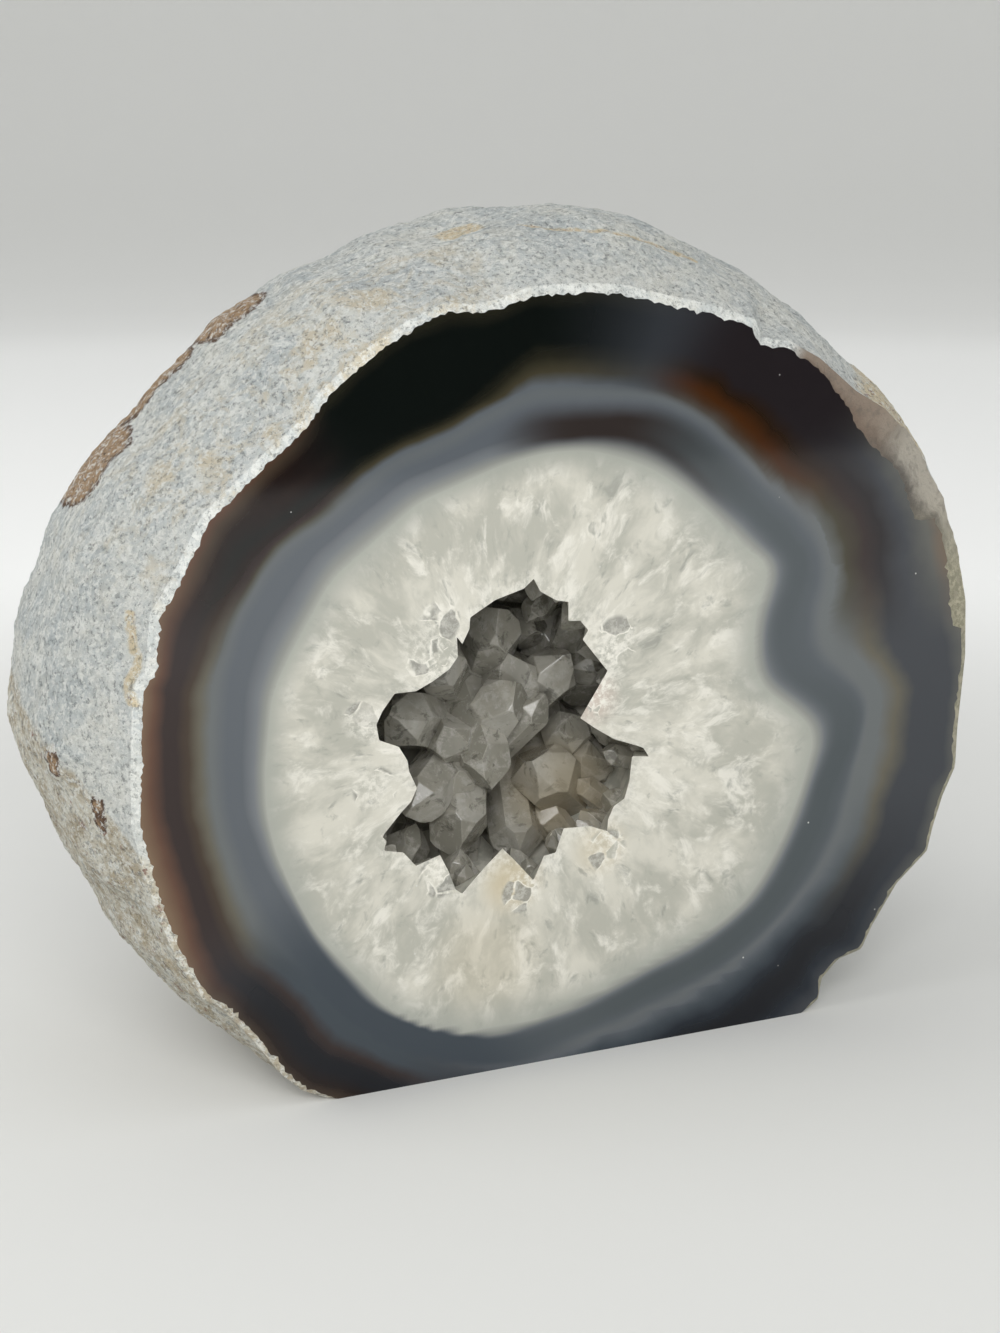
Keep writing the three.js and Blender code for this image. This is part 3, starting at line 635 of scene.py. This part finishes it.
# Colours as sRGB, from the light quartz out to the rind
PALETTE = {
    "quartz": "d3d0c4", "quartz_bright": "ebe8de", "quartz_cloud": "b4b3a8", "quartz_grey": "979890",
    "quartz_window": "8e8d86", "quartz_edge": "a3a59d", "edge_grey": "8b8d88", "honey": "c9bc9f",
    "blush": "cfc0b4", "inner_slate": "72767a", "slate": "5a5f65", "pale_band": "65696a",
    "brown_line": "312b29", "slate_line": "474e51", "deep_blue": "3a424a", "khaki": "5f5b4f",
    "charcoal": "3a3d42", "ash": "5c5c57", "amber": "40240f", "amber_dark": "26190f", "plum": "221e20",
    "olive": "3f3b2d", "olive_dark": "23221a", "black": "0d110f", "rust_black": "1a0d09",
    "umber": "403429", "umber_dark": "2f2422", "rust": "5c4133", "tan": "75604c",
    "slate_dark": "3c444b", "navy": "1b222b", "ink": "0a0d15", "dust": "d8d8d4", "rim_taupe": "b0a99c",
    "rim_dark": "5d574f", "rim_brown": "7d6a5a", "rim_moss": "8d8a74", "rim_cream": "b9b29a",
    "stone": "c0c6c6", "stone_light": "d9dad3", "stone_shade": "a9b0b1", "stone_white": "ecede8",
    "stone_cream": "d2c9b4", "stone_dark": "6c7073", "brown": "a98c6b", "brown_dark": "5a4230",
    "ochre": "d9c8a4", "beige": "b3a384", "beige_light": "dedacb", "rust_pit": "86583f",
    "lining": "dbd8cc", "crystal": "e6e3d8", "crystal_cloud": "f0ede4", "crystal_mid": "d6d2c5",
    # The crystals' pale edge colour is a painted highlight
    "crystal_grey": "aeab9e", "crystal_edge_highlight": "d6d2c6", "crystal_dark": "5d5a50",
    "crystal_honey": "e6d6b6", "floor": "dadad7", "floor_painted_light": "fafaf8",
}

# Patches over tones: colour, noise as (size, detail, roughness, distortion), its limits, and strength
PATCHES = {
    "quartz_cloud": [
        ("quartz", (5.2, 5, 0.6, 0.0), (0.38, 0.64), 1.0),
        ("quartz_bright", (2.8, 6, 0.66, 0.2), (0.48, 0.68), 0.75),
        ("quartz_grey", (1.7, 4, 0.6, 0.3), (0.56, 0.74), 0.75),
    ],
    "stone": [
        ("stone_light", (8.0, 5, 0.65, 0.5), (0.4, 0.62), 1.0),
        ("stone_shade", (1.5, 6, 0.75, 0.4), (0.52, 0.4), 0.55),
    ],
    "beige": [("beige_light", (1.3, 4, 0.65, 0.4), (0.4, 0.62), 1.0)],
    "beige_pits": [
        ("rust_pit", (1.3, 4, 0.65, 0.4), (0.6, 0.68), 1.0),
        ("stone_dark", (1.0, 3, 0.6), (0.44, 0.34), 0.6),
    ],
    "ochre": [("rust_pit", (0.9, 3, 0.6), (0.6, 0.66), 1.0)],
    "brown": [("brown_dark", (0.8, 4, 0.7), (0.52, 0.66), 1.0)],
    "rim_moss": [("rim_cream", (0.7, 3, 0.7), (0.4, 0.6), 1.0)],
    "rim": [("rim_dark", (1.4, 5, 0.7), (0.5, 0.66), 0.4)],
    "sawn_rind": [("stone_cream", (2.0, 4), (0.4, 0.6), 1.0)],
    "lining": [("quartz_cloud", (2.2, 4), (0.4, 0.65), 1.0)],
    "crystals": [
        ("crystal_grey", (5.0, 4, 0.6, 0.5), (0.42, 0.62), 0.5),
        ("crystal_cloud", (2.0, 7, 0.78, 0.3), (0.48, 0.62), 0.65),
        ("crystal_dark", (2.6, 5, 0.7, 0.6), (0.46, 0.36), 0.55),
    ],
}
# Tinted spots as middle, radius, colour and strength
QUARTZ_TINTS = [
    ((-9.0, FACE_Y, 23.0), 5.0, "honey", 0.8), ((1.2, FACE_Y, 43.4), 4.2, "blush", 0.75),
    ((2.3, FACE_Y, 25.5), 4.5, "honey", 0.5), ((-12.0, FACE_Y, 14.0), 9.0, "honey", 0.25),
]
CRYSTAL_TINTS = [((2.0, -10.0, 29.5), 9.0, "crystal_honey", 0.65)]

# Strands of the quartz that run outwards, and the size of the crystals that the saw cut through
FEATHER_RADIUS = 26.0
FEATHER_SQUEEZE = 0.6
CUT_CRYSTAL = 2.3
# Where crystals were cut through, as (x, z, radius)
CUT_PLACES = [
    (-19.1, 50.6, 4.2), (-17.6, 54.1, 3.4), (-25.5, 36.0, 3.6), (4.2, 50.0, 4.0), (-17.8, 24.8, 3.6),
    (-7.9, 21.2, 3.2), (2.6, 43.6, 3.4), (3.2, 25.0, 3.6), (-27.0, 44.0, 3.0),
]
DUST_SPACING = 5.0
DUST_SIZE = 0.028

# The smoke inside the crystals, and the colour of their faces by painted shade, up to the painted highlight
# of the edges
CRYSTAL_SMOKE = (0.62, 0.6, 0.55, 1)
CRYSTAL_DENSITY = 60.0
CRYSTAL_TONES = [(0.0, "crystal_grey"), (0.45, "crystal_mid"), (0.8, "crystal"), (1.0, "crystal_edge_highlight")]
# How strongly each stain of the rind covers it, and how ragged its edge is
STAIN_COVER = {"beige": 0.8, "ochre": 0.85}
STAIN_RAGGED = {"beige": 0.6, "ochre": 0.7, "brown": 0.5}


def colour(name):
    """A palette colour as linear RGBA."""
    channels = [int(PALETTE[name][i:i + 2], 16) / 255 for i in (0, 2, 4)]
    linear = [c / 12.92 if c <= 0.04045 else ((c + 0.055) / 1.055) ** 2.4 for c in channels]
    return (*linear, 1.0)


class Finish:
    """A node material that is written as short calls. Lengths in it are millimetres."""

    def __init__(self, name):
        self.material = bpy.data.materials.new(name)
        self.material.use_nodes = True
        self.tree = self.material.node_tree
        self.shader = self.tree.nodes["Principled BSDF"]
        self.place = self.vector("MULTIPLY", self.node("TexCoord").outputs["Object"], (1 / MM,) * 3)

    def join(self, value, socket):
        if isinstance(value, bpy.types.NodeSocket):
            self.tree.links.new(value, socket)
        else:
            socket.default_value = value

    def node(self, kind, *inputs, **named_inputs):
        """A new node with values or links in its first inputs, and in others by their names."""
        node = self.tree.nodes.new("ShaderNode" + kind)
        for value, socket in zip(inputs, node.inputs):
            self.join(value, socket)
        for name, value in named_inputs.items():
            self.join(value, node.inputs[name])
        return node

    def vector(self, operation, a, b):
        node = self.node("VectorMath", a, b)
        node.operation = operation
        return node.outputs["Value" if operation in ("LENGTH", "DISTANCE", "DOT_PRODUCT") else "Vector"]

    def math(self, operation, a, b=0.0, clamp=False):
        node = self.node("Math", a, b)
        node.operation = operation
        node.use_clamp = clamp
        return node.outputs[0]

    def times(self, a, b, clamp=False):
        return self.math("MULTIPLY", a, b, clamp)

    def axis(self, index, vector=None):
        return self.node("SeparateXYZ", self.place if vector is None else vector).outputs[index]

    def attribute(self, name):
        node = self.node("Attribute")
        node.attribute_name = name
        return node.outputs["Fac"]

    def noise(self, size, detail=3.0, roughness=0.55, distortion=0.0, vector=None):
        place = self.place if vector is None else vector
        node = self.node("TexNoise", Vector=place, Scale=1 / size, Detail=detail, Roughness=roughness)
        node.inputs["Distortion"].default_value = distortion
        return node.outputs["Fac"]

    def cells(self, size, feature="F1", output="Distance", vector=None):
        place = self.place if vector is None else vector
        node = self.node("TexVoronoi", Vector=place, Scale=1 / size)
        node.feature = feature
        return node.outputs[output]

    def warp(self, vector, size, amount):
        """A place that is pushed aside by soft noise, up to about half an amount each way."""
        pushes = self.node("TexNoise", Vector=vector, Scale=1 / size).outputs["Color"]
        aside = self.vector("SUBTRACT", pushes, (0.5, 0.5, 0.5))
        return self.vector("ADD", vector, self.vector("MULTIPLY", aside, (amount,) * 3))

    def steps(self, value, low, high):
        """A smooth change from 0 to 1 as a value passes from low to high, which may be the smaller number."""
        falling = low > high
        ends = (float(falling), float(not falling))
        node = self.node("MapRange", value, min(low, high), max(low, high), *ends)
        node.interpolation_type = "SMOOTHSTEP"
        return node.outputs["Result"]

    def ramp(self, value, stops):
        """Palette colours along a value, as (place, colour name) pairs."""
        node = self.node("ValToRGB", value)
        elements = node.color_ramp.elements
        while len(elements) < len(stops):
            elements.new(0.5)
        for element, (position, name) in zip(elements, stops):
            element.position = position
            element.color = colour(name)
        return node.outputs["Color"]

    def blend(self, share, a, b, mode="MIX"):
        node = self.node("Mix")
        node.data_type = "RGBA"
        node.blend_type = mode
        self.join(share, node.inputs[0])
        self.join(colour(a) if isinstance(a, str) else a, node.inputs[6])
        self.join(colour(b) if isinstance(b, str) else b, node.inputs[7])
        return node.outputs[2]

    def patches(self, tone, name=None, vector=None):
        """A tone under patches of other colours, where noise goes from one limit to the other."""
        for patch, grain, limits, strength in PATCHES[name or tone]:
            share = self.steps(self.noise(*grain, vector=vector), *limits)
            tone = self.blend(self.times(share, strength), tone, patch)
        return tone

    def tints(self, tone, spots):
        """A tone under soft spots of other colours."""
        for middle, radius, name, strength in spots:
            tone = self.blend(self.times(spot(self, middle, radius), strength), tone, name)
        return tone

    def bump(self, height, distance):
        """Relief of a height from 0 to 1 that is worth a distance in millimetres."""
        return self.node("Bump", Strength=1.0, Distance=distance * MM, Height=height).outputs[0]

    def set(self, **sockets):
        for name, value in sockets.items():
            self.join(value, self.shader.inputs[name.replace("_", " ")])


# Share of a lobe's width and of a spot's radius that is at full strength
LOBE_CORE = 0.35
SPOT_CORE = 0.25


def lobe(finish, middle, width):
    """How near a point's direction from the axis is to an angle, from 0 to 1, smooth all the way round."""
    direction = finish.vector("NORMALIZE", from_axis(finish), (0, 0, 0))
    facing = (math.cos(math.radians(middle)), 0, math.sin(math.radians(middle)))
    closeness = finish.vector("DOT_PRODUCT", direction, facing)
    return finish.steps(closeness, math.cos(math.radians(width)), math.cos(math.radians(width * LOBE_CORE)))


def from_axis(finish):
    """A point's place across the nodule, from its axis."""
    return finish.vector("MULTIPLY", finish.vector("SUBTRACT", finish.place, (AXIS_X, 0, AXIS_Z)), (1, 0, 1))


def spot(finish, middle, radius):
    """How near a point is to a place, from 0 at a radius to 1."""
    return finish.steps(finish.vector("DISTANCE", finish.place, middle), radius, radius * SPOT_CORE)


def depth_share(finish, start, end):
    """How far a point's depth behind the polished face is from one depth to another, from 0 to 1."""
    return finish.steps(finish.axis(1), FACE_Y + start, FACE_Y + end)


# Layers of the agate at the outer edges of the white quartz and of the pale band
QUARTZ_LAYER = 1.0
PALE_LAYER = 3.0
# Bands from the one to the other, as share of the way and colour
INNER_BANDS = [
    (0.0, "quartz_edge"), (0.1, "edge_grey"), (0.25, "inner_slate"), (0.5, "slate"), (0.75, "slate"),
    (1.0, "pale_band"),
]
# Bands from there to the rim by direction: middle angle and half width in degrees, then colours outwards
SECTORS = [
    (350, 75, ["pale_band", "pale_band", "khaki", "charcoal", "charcoal", "charcoal", "ash"]),
    (30, 26, ["pale_band", "olive", "umber_dark", "plum", "charcoal", "ash", "tan"]),
    (48, 21, ["umber", "amber", "amber_dark", "plum", "plum", "plum", "plum"]),
    (102, 42, ["slate", "olive", "olive_dark", "black", "black", "black", "olive_dark"]),
    (143, 24, ["olive", "umber_dark", "rust_black", "black", "rust_black", "umber", "rust"]),
    (187, 42, ["pale_band", "khaki", "umber", "umber_dark", "umber_dark", "rust", "tan"]),
    (236, 26, ["slate_dark", "slate_dark", "umber_dark", "ink", "ink", "rust_black", "umber"]),
    (300, 48, ["slate", "slate_dark", "navy", "ink", "ink", "navy", "charcoal"]),
]
SECTOR_STOPS = [0.0, 0.15, 0.3, 0.45, 0.62, 0.8, 0.97]
# Directions in which the bands lie further in: middle angle, half width, amount, first and last layer
BAND_SHIFTS = [(345, 85, 0.22, 1.0, 2.6), (116, 30, 0.42, 1.7, 3.7), (150, 20, 0.1, 2.6, 3.7)]
SHIFT_SOFT = 0.5
# Dark lines in the inner bands: middle angle, half width, colour, strength, first and last layer
DARK_LINES = [
    (66, 30, "brown_line", 1.0, 1.1, 2.7), (246, 40, "deep_blue", 1.0, 1.1, 3.5),
    (322, 62, "slate_line", 0.9, 1.3, 2.9), (34, 34, "slate_line", 0.75, 1.3, 2.8),
]
LINE_SOFT = 0.6
# How far the bands waver, in layers
DRIFT = 0.3


def agate_colour(finish):
    """Bands of the agate around the white quartz, from the layer that each point is in."""
    layer = finish.attribute("layer")
    drift = finish.times(finish.math("SUBTRACT", finish.noise(11, 3), 0.5), DRIFT)
    bands = finish.math("ADD", layer, finish.times(drift, finish.steps(layer, 1.0, 1.6)))
    for middle, width, amount, start, end in BAND_SHIFTS:
        share = finish.times(lobe(finish, middle, width), finish.steps(layer, start, start + SHIFT_SOFT))
        share = finish.times(share, finish.steps(layer, end, end - SHIFT_SOFT))
        bands = finish.math("ADD", bands, finish.times(share, amount))
    outwards = finish.math("SUBTRACT", bands, QUARTZ_LAYER)
    inner = finish.ramp(finish.math("DIVIDE", outwards, PALE_LAYER - QUARTZ_LAYER), INNER_BANDS)
    for middle, width, name, strength, start, end in DARK_LINES:
        line = finish.times(lobe(finish, middle, width), finish.steps(bands, start, start + LINE_SOFT))
        line = finish.times(line, finish.steps(bands, end, end - LINE_SOFT))
        inner = finish.blend(finish.times(line, strength), inner, name)
    outwards = finish.math("SUBTRACT", bands, PALE_LAYER)
    outer = "charcoal"
    for middle, width, names in SECTORS:
        sector = finish.ramp(outwards, list(zip(SECTOR_STOPS, names)))
        outer = finish.blend(lobe(finish, middle, width), outer, sector)
    return layer, finish.blend(finish.steps(bands, 2.75, 3.1), inner, outer)


def quartz_colour(finish, layer):
    """White quartz: cloudy, faintly feathered outwards, with clear cut crystals around the hollow."""
    flat = from_axis(finish)
    direction = finish.vector("NORMALIZE", flat, (0, 0, 0))
    around = finish.vector("MULTIPLY", direction, (FEATHER_RADIUS,) * 3)
    outwards = finish.times(finish.vector("LENGTH", flat, (0, 0, 0)), FEATHER_SQUEEZE)
    outwards = finish.node("CombineXYZ", 0.0, outwards, 0.0).outputs[0]
    feather = finish.warp(finish.vector("ADD", around, outwards), 4.0, 3.0)
    tone = finish.patches("quartz_cloud", vector=feather)
    return cut_crystals(finish, layer, finish.tints(tone, QUARTZ_TINTS))


def cut_crystals(finish, layer, tone):
    """Clear grey windows with bright outlines, where the saw went through crystals near the mouth, each with
    painted shading from one side across to the other.
    """
    warped = finish.warp(finish.place, 2.5, 1.2)
    edge = finish.cells(CUT_CRYSTAL, "DISTANCE_TO_EDGE", vector=warped)
    chance = finish.cells(CUT_CRYSTAL, "F1", "Color", vector=warped)
    middle = finish.cells(CUT_CRYSTAL, "F1", "Position", vector=warped)
    # Painted shading across each window: a random direction from the cell's middle, grey on one side
    aside = finish.vector("SUBTRACT", finish.vector("MULTIPLY", middle, (CUT_CRYSTAL,) * 3), warped)
    lean = finish.vector("DOT_PRODUCT", aside, finish.vector("SUBTRACT", chance, (0.5, 0.5, 0.5)))
    zone = 0.0
    for x, z, radius in CUT_PLACES:
        zone = finish.math("MAXIMUM", zone, spot(finish, (x, FACE_Y, z), radius))
    rough_glass = finish.steps(finish.noise(0.8, 5, 0.7), 0.42, 0.62)
    near_mouth = finish.times(finish.steps(layer, 0.2, 0.01), 0.55)
    glow = finish.math("ADD", near_mouth, finish.times(zone, 0.7))
    tone = finish.blend(finish.times(glow, rough_glass, True), tone, "quartz_bright")
    picked = finish.steps(finish.axis(0, chance), 0.48, 0.5)
    picked = finish.times(picked, finish.steps(zone, 0.2, 0.5))
    broken = finish.steps(finish.noise(0.9, 3, 0.6, 0.2), 0.4, 0.56)
    outline = finish.times(finish.steps(edge, 0.07, 0.02), finish.times(picked, broken))
    tone = finish.blend(finish.times(outline, 0.9), tone, "quartz_bright")
    inside = finish.times(finish.steps(edge, 0.03, 0.09), picked)
    # Painted shade in each window, from grey on one side to cloudy on the other
    shade = finish.blend(finish.steps(lean, -0.25, 0.3), "quartz_window", "quartz_cloud")
    shade = finish.blend(finish.times(rough_glass, 0.35), shade, "quartz_bright")
    return finish.blend(finish.times(inside, 0.85), tone, shade)


def make_polished():
    finish = Finish("polished_agate")
    layer, bands = agate_colour(finish)
    body = finish.blend(finish.steps(layer, 0.74, 1.04), quartz_colour(finish, layer), bands)
    grain = finish.cells(DUST_SPACING, "F1")
    specks = finish.times(finish.steps(grain, DUST_SIZE, DUST_SIZE * 0.5), 0.75)
    body = finish.blend(specks, body, "dust")
    finish.set(Base_Color=body, Roughness=0.07, IOR=1.54, Specular_IOR_Level=0.35)
    return finish.material


def stain_share(finish, name, edge):
    """How far a point is inside a stain of the rind, with a ragged edge."""
    return finish.math("ADD", finish.attribute(name), finish.times(edge, STAIN_RAGGED[name]))


def rind_colour(finish):
    """Fine-grained weathered stone: blue-grey with pale frosting, cream films and the stains, where the brown
    ones have a dark edge that is partly pitting and partly painted shade.
    """
    tone = finish.patches("stone")
    near_face = finish.times(depth_share(finish, 9, 0.5), 0.4)
    frosting = finish.math("ADD", finish.steps(finish.noise(2.6, 7, 0.78, 0.3), 0.5, 0.64), near_face)
    tone = finish.blend(finish.times(frosting, 0.6, True), tone, "stone_white")
    warm = finish.math("ADD", finish.times(lobe(finish, 122, 40), depth_share(finish, 26, 4)), 0.14)
    films = finish.times(finish.steps(finish.noise(4.5, 5, 0.7, 0.5), 0.44, 0.66), warm)
    tone = finish.blend(films, tone, "stone_cream")
    edge = finish.times(finish.math("SUBTRACT", finish.noise(1.6, 4, 0.7), 0.5), 1.2)
    stretched = finish.vector("MULTIPLY", finish.place, (1.0, 0.4, 0.55))
    beige = finish.patches(finish.patches("beige", vector=stretched), "beige_pits")
    ochre = finish.patches("ochre")
    for name, stain in (("beige", beige), ("ochre", ochre)):
        share = finish.steps(stain_share(finish, name, edge), 0.35, 0.75)
        tone = finish.blend(finish.times(share, STAIN_COVER[name]), tone, stain)
    # Brown stains with a dark edge: partly real pitting, partly painted shade under the raised scab's step
    share = stain_share(finish, "brown", edge)
    brown = finish.blend(finish.steps(share, 0.62, 0.5), finish.patches("brown"), "brown_dark")
    tone = finish.blend(finish.steps(share, 0.4, 0.47), tone, brown)
    dark = finish.times(finish.steps(finish.noise(0.6, 4, 0.8), 0.51, 0.63), 0.6)
    tone = finish.blend(dark, tone, "stone_dark", "MULTIPLY")
    light = finish.times(finish.steps(finish.noise(0.75, 4, 0.8, 0.4), 0.5, 0.6), 0.75)
    return finish.blend(light, tone, "stone_white")


def make_rind():
    finish = Finish("weathered_rind")
    grain = finish.bump(finish.noise(1.3, 6, 0.78), 1.05)
    finish.set(Base_Color=rind_colour(finish), Roughness=0.9, Normal=grain)
    return finish.material


# Bare rim: where it is brown, as middle angle and half width, and between which heights moss comes up
BROWN_RIM = (43, 16)
MOSS_HEIGHTS = (64.0, 54.0)


def make_rim():
    """The narrow broken edge: weathered like the rind, and bare agate where the rim is chipped."""
    finish = Finish("broken_rim")
    share = finish.math("ADD", finish.attribute("outwards"), finish.noise(1.6, 5, 0.7, 0.3))
    bare = finish.blend(finish.steps(share, 0.5, 1.3), "rim_dark", "rim_taupe")
    bare = finish.blend(finish.times(lobe(finish, *BROWN_RIM), 0.8), bare, "rim_brown")
    mossy = finish.times(finish.steps(finish.axis(2), *MOSS_HEIGHTS), 0.9)
    bare = finish.blend(mossy, bare, finish.patches("rim_moss"))
    bare = finish.patches(bare, "rim")
    tone = finish.blend(finish.attribute("bare"), rind_colour(finish), bare)
    finish.set(Base_Color=tone, Roughness=0.5, Normal=finish.bump(finish.noise(0.8, 5, 0.7), 0.5))
    return finish.material


def make_sawn():
    finish = Finish("sawn_base")
    layer, bands = agate_colour(finish)
    tone = finish.blend(finish.steps(layer, 3.9, 3.98), bands, finish.patches("stone", "sawn_rind"))
    lines = finish.noise(0.5, 2, 0.5, 0.0, finish.vector("MULTIPLY", finish.place, (0.06, 1.0, 1.0)))
    finish.set(Base_Color=tone, Roughness=0.5, Normal=finish.bump(lines, 0.05))
    return finish.material


def make_lining():
    finish = Finish("quartz_wall")
    finish.set(Base_Color=finish.patches("lining"), Roughness=0.3)
    return finish.material


def make_crystal():
    """Smoky clear quartz: each face in its own painted shade, with edges painted pale as highlights and milky
    clouds inside.
    """
    finish = Finish("clear_quartz")
    tone = finish.patches(finish.ramp(finish.attribute("facet"), CRYSTAL_TONES), "crystals")
    tone = finish.tints(tone, CRYSTAL_TINTS)
    finish.set(Base_Color=tone, Roughness=0.04, IOR=1.544, Transmission_Weight=0.55)
    inside = finish.node("VolumeAbsorption", Color=CRYSTAL_SMOKE, Density=CRYSTAL_DENSITY)
    finish.join(inside.outputs[0], finish.tree.nodes["Material Output"].inputs["Volume"])
    return finish.material


stone = build_stone(make_polished(), make_rim(), make_rind(), make_sawn(), make_lining())
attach(stone, "root")
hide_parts("geode")

crystals = build_crystals(make_crystal())
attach(crystals, "root")
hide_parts("crystal_crust")

# Stage: a round pale floor that curves up into a low wall
FLOOR_RADIUS = 900.0
SWEEP_RADIUS = 500.0
WALL_HEIGHT = 900.0
# The floor's ring of painted light around the stone, in metres: where it starts, is full, begins to fade and
# ends
PAINTED_LIGHT_RING = (0.12, 0.3, 0.75, 1.15)
STAGE_SEGMENTS = 96
FLOOR_STEPS = 6
SWEEP_STEPS = 12
# A dark strip across the front that only reflections see, as the edge of the table and the room beyond
STRIP_Y = -423.0
STRIP_HALF = 1200.0
STRIP_HEIGHT = 150.0
STRIP_COLOUR = (0.01, 0.01, 0.01, 1)


def build_floor():
    finish = Finish("pale_floor")
    away = finish.vector("LENGTH", finish.vector("MULTIPLY", finish.place, (MM, MM, MM)), (0, 0, 0))
    start, full, fading, end = PAINTED_LIGHT_RING
    # A ring of painted light on the floor, brighter than the floor nearer and further away
    ring = finish.times(finish.steps(away, start, full), finish.steps(away, end, fading))
    finish.set(Base_Color=finish.blend(ring, "floor", "floor_painted_light"), Roughness=1.0, Specular_IOR_Level=0.0)
    profile = [(FLOOR_RADIUS * step / FLOOR_STEPS, 0.0) for step in range(1, FLOOR_STEPS + 1)]
    for step in range(1, SWEEP_STEPS + 1):
        turn = math.pi / 2 * step / SWEEP_STEPS
        profile.append((FLOOR_RADIUS + SWEEP_RADIUS * math.sin(turn), SWEEP_RADIUS * (1 - math.cos(turn))))
    profile.append((FLOOR_RADIUS + SWEEP_RADIUS, WALL_HEIGHT))
    turns = np.arange(STAGE_SEGMENTS) * math.tau / STAGE_SEGMENTS
    points = [(0.0, 0.0, 0.0)]
    points += [(r * math.cos(t), r * math.sin(t), height) for r, height in profile for t in turns]
    faces = []
    for i in range(STAGE_SEGMENTS):
        j = (i + 1) % STAGE_SEGMENTS
        faces.append((0, 1 + i, 1 + j))
        for row in range(len(profile) - 1):
            near, far = 1 + row * STAGE_SEGMENTS, 1 + (row + 1) * STAGE_SEGMENTS
            faces.append((near + i, far + i, far + j, near + j))
    new_object("floor", points, faces, [finish.material])


def build_dark_strip():
    finish = Finish("dark_room")
    finish.set(Base_Color=STRIP_COLOUR, Roughness=1.0, Specular_IOR_Level=0.0)
    corners = [
        (-STRIP_HALF, STRIP_Y, 0), (STRIP_HALF, STRIP_Y, 0), (STRIP_HALF, STRIP_Y, STRIP_HEIGHT),
        (-STRIP_HALF, STRIP_Y, STRIP_HEIGHT),
    ]
    strip = new_object("dark_strip", corners, [(0, 1, 2, 3)], [finish.material])
    strip.visible_camera = False
    strip.visible_diffuse = False
    strip.visible_transmission = False
    strip.visible_shadow = False


build_floor()
build_dark_strip()

# Camera: its place, how far it is turned to the right and tilted down in degrees, and its lens
CAMERA_PLACE = (-107.8, -219.5 + FACE_Y, 108.25)
CAMERA_AZIMUTH = 23.926
CAMERA_PITCH = 14.0
CAMERA_LENS = 60.0
NEAREST_SHOWN = 0.01

# Lights as name, place, size and power, what they aim at, and the pale studio around
LIGHTS = [("key", (-700, 150, 500), 700, 2.4), ("fill", (-300, -750, 550), 600, 4.2)]
LIT_MIDDLE = (-3, 0, 45)
STUDIO_COLOUR = (0.83, 0.84, 0.85, 1)
STUDIO_STRENGTH = 0.88


def add_camera():
    data = bpy.data.cameras.new("camera")
    data.lens = CAMERA_LENS
    data.clip_start = NEAREST_SHOWN
    camera = add_object("camera", data)
    camera.location = Vector(CAMERA_PLACE) * MM
    camera.rotation_euler = (math.radians(90 - CAMERA_PITCH), 0, math.radians(-CAMERA_AZIMUTH))
    bpy.context.scene.camera = camera


def add_area_light(name, location, size, power):
    data = bpy.data.lights.new(name, "AREA")
    data.shape = "DISK"
    data.size = size * MM
    data.energy = power
    light = add_object(name, data)
    light.location = Vector(location) * MM
    aim = Vector(LIT_MIDDLE) - Vector(location)
    light.rotation_euler = aim.to_track_quat("-Z", "Y").to_euler()


def add_lights():
    for light in LIGHTS:
        add_area_light(*light)
    world = bpy.data.worlds.new("studio")
    world.use_nodes = True
    world.node_tree.nodes["Background"].inputs["Color"].default_value = STUDIO_COLOUR
    world.node_tree.nodes["Background"].inputs["Strength"].default_value = STUDIO_STRENGTH
    bpy.context.scene.world = world


add_camera()
add_lights()
bpy.context.scene.view_settings.view_transform = "Standard"
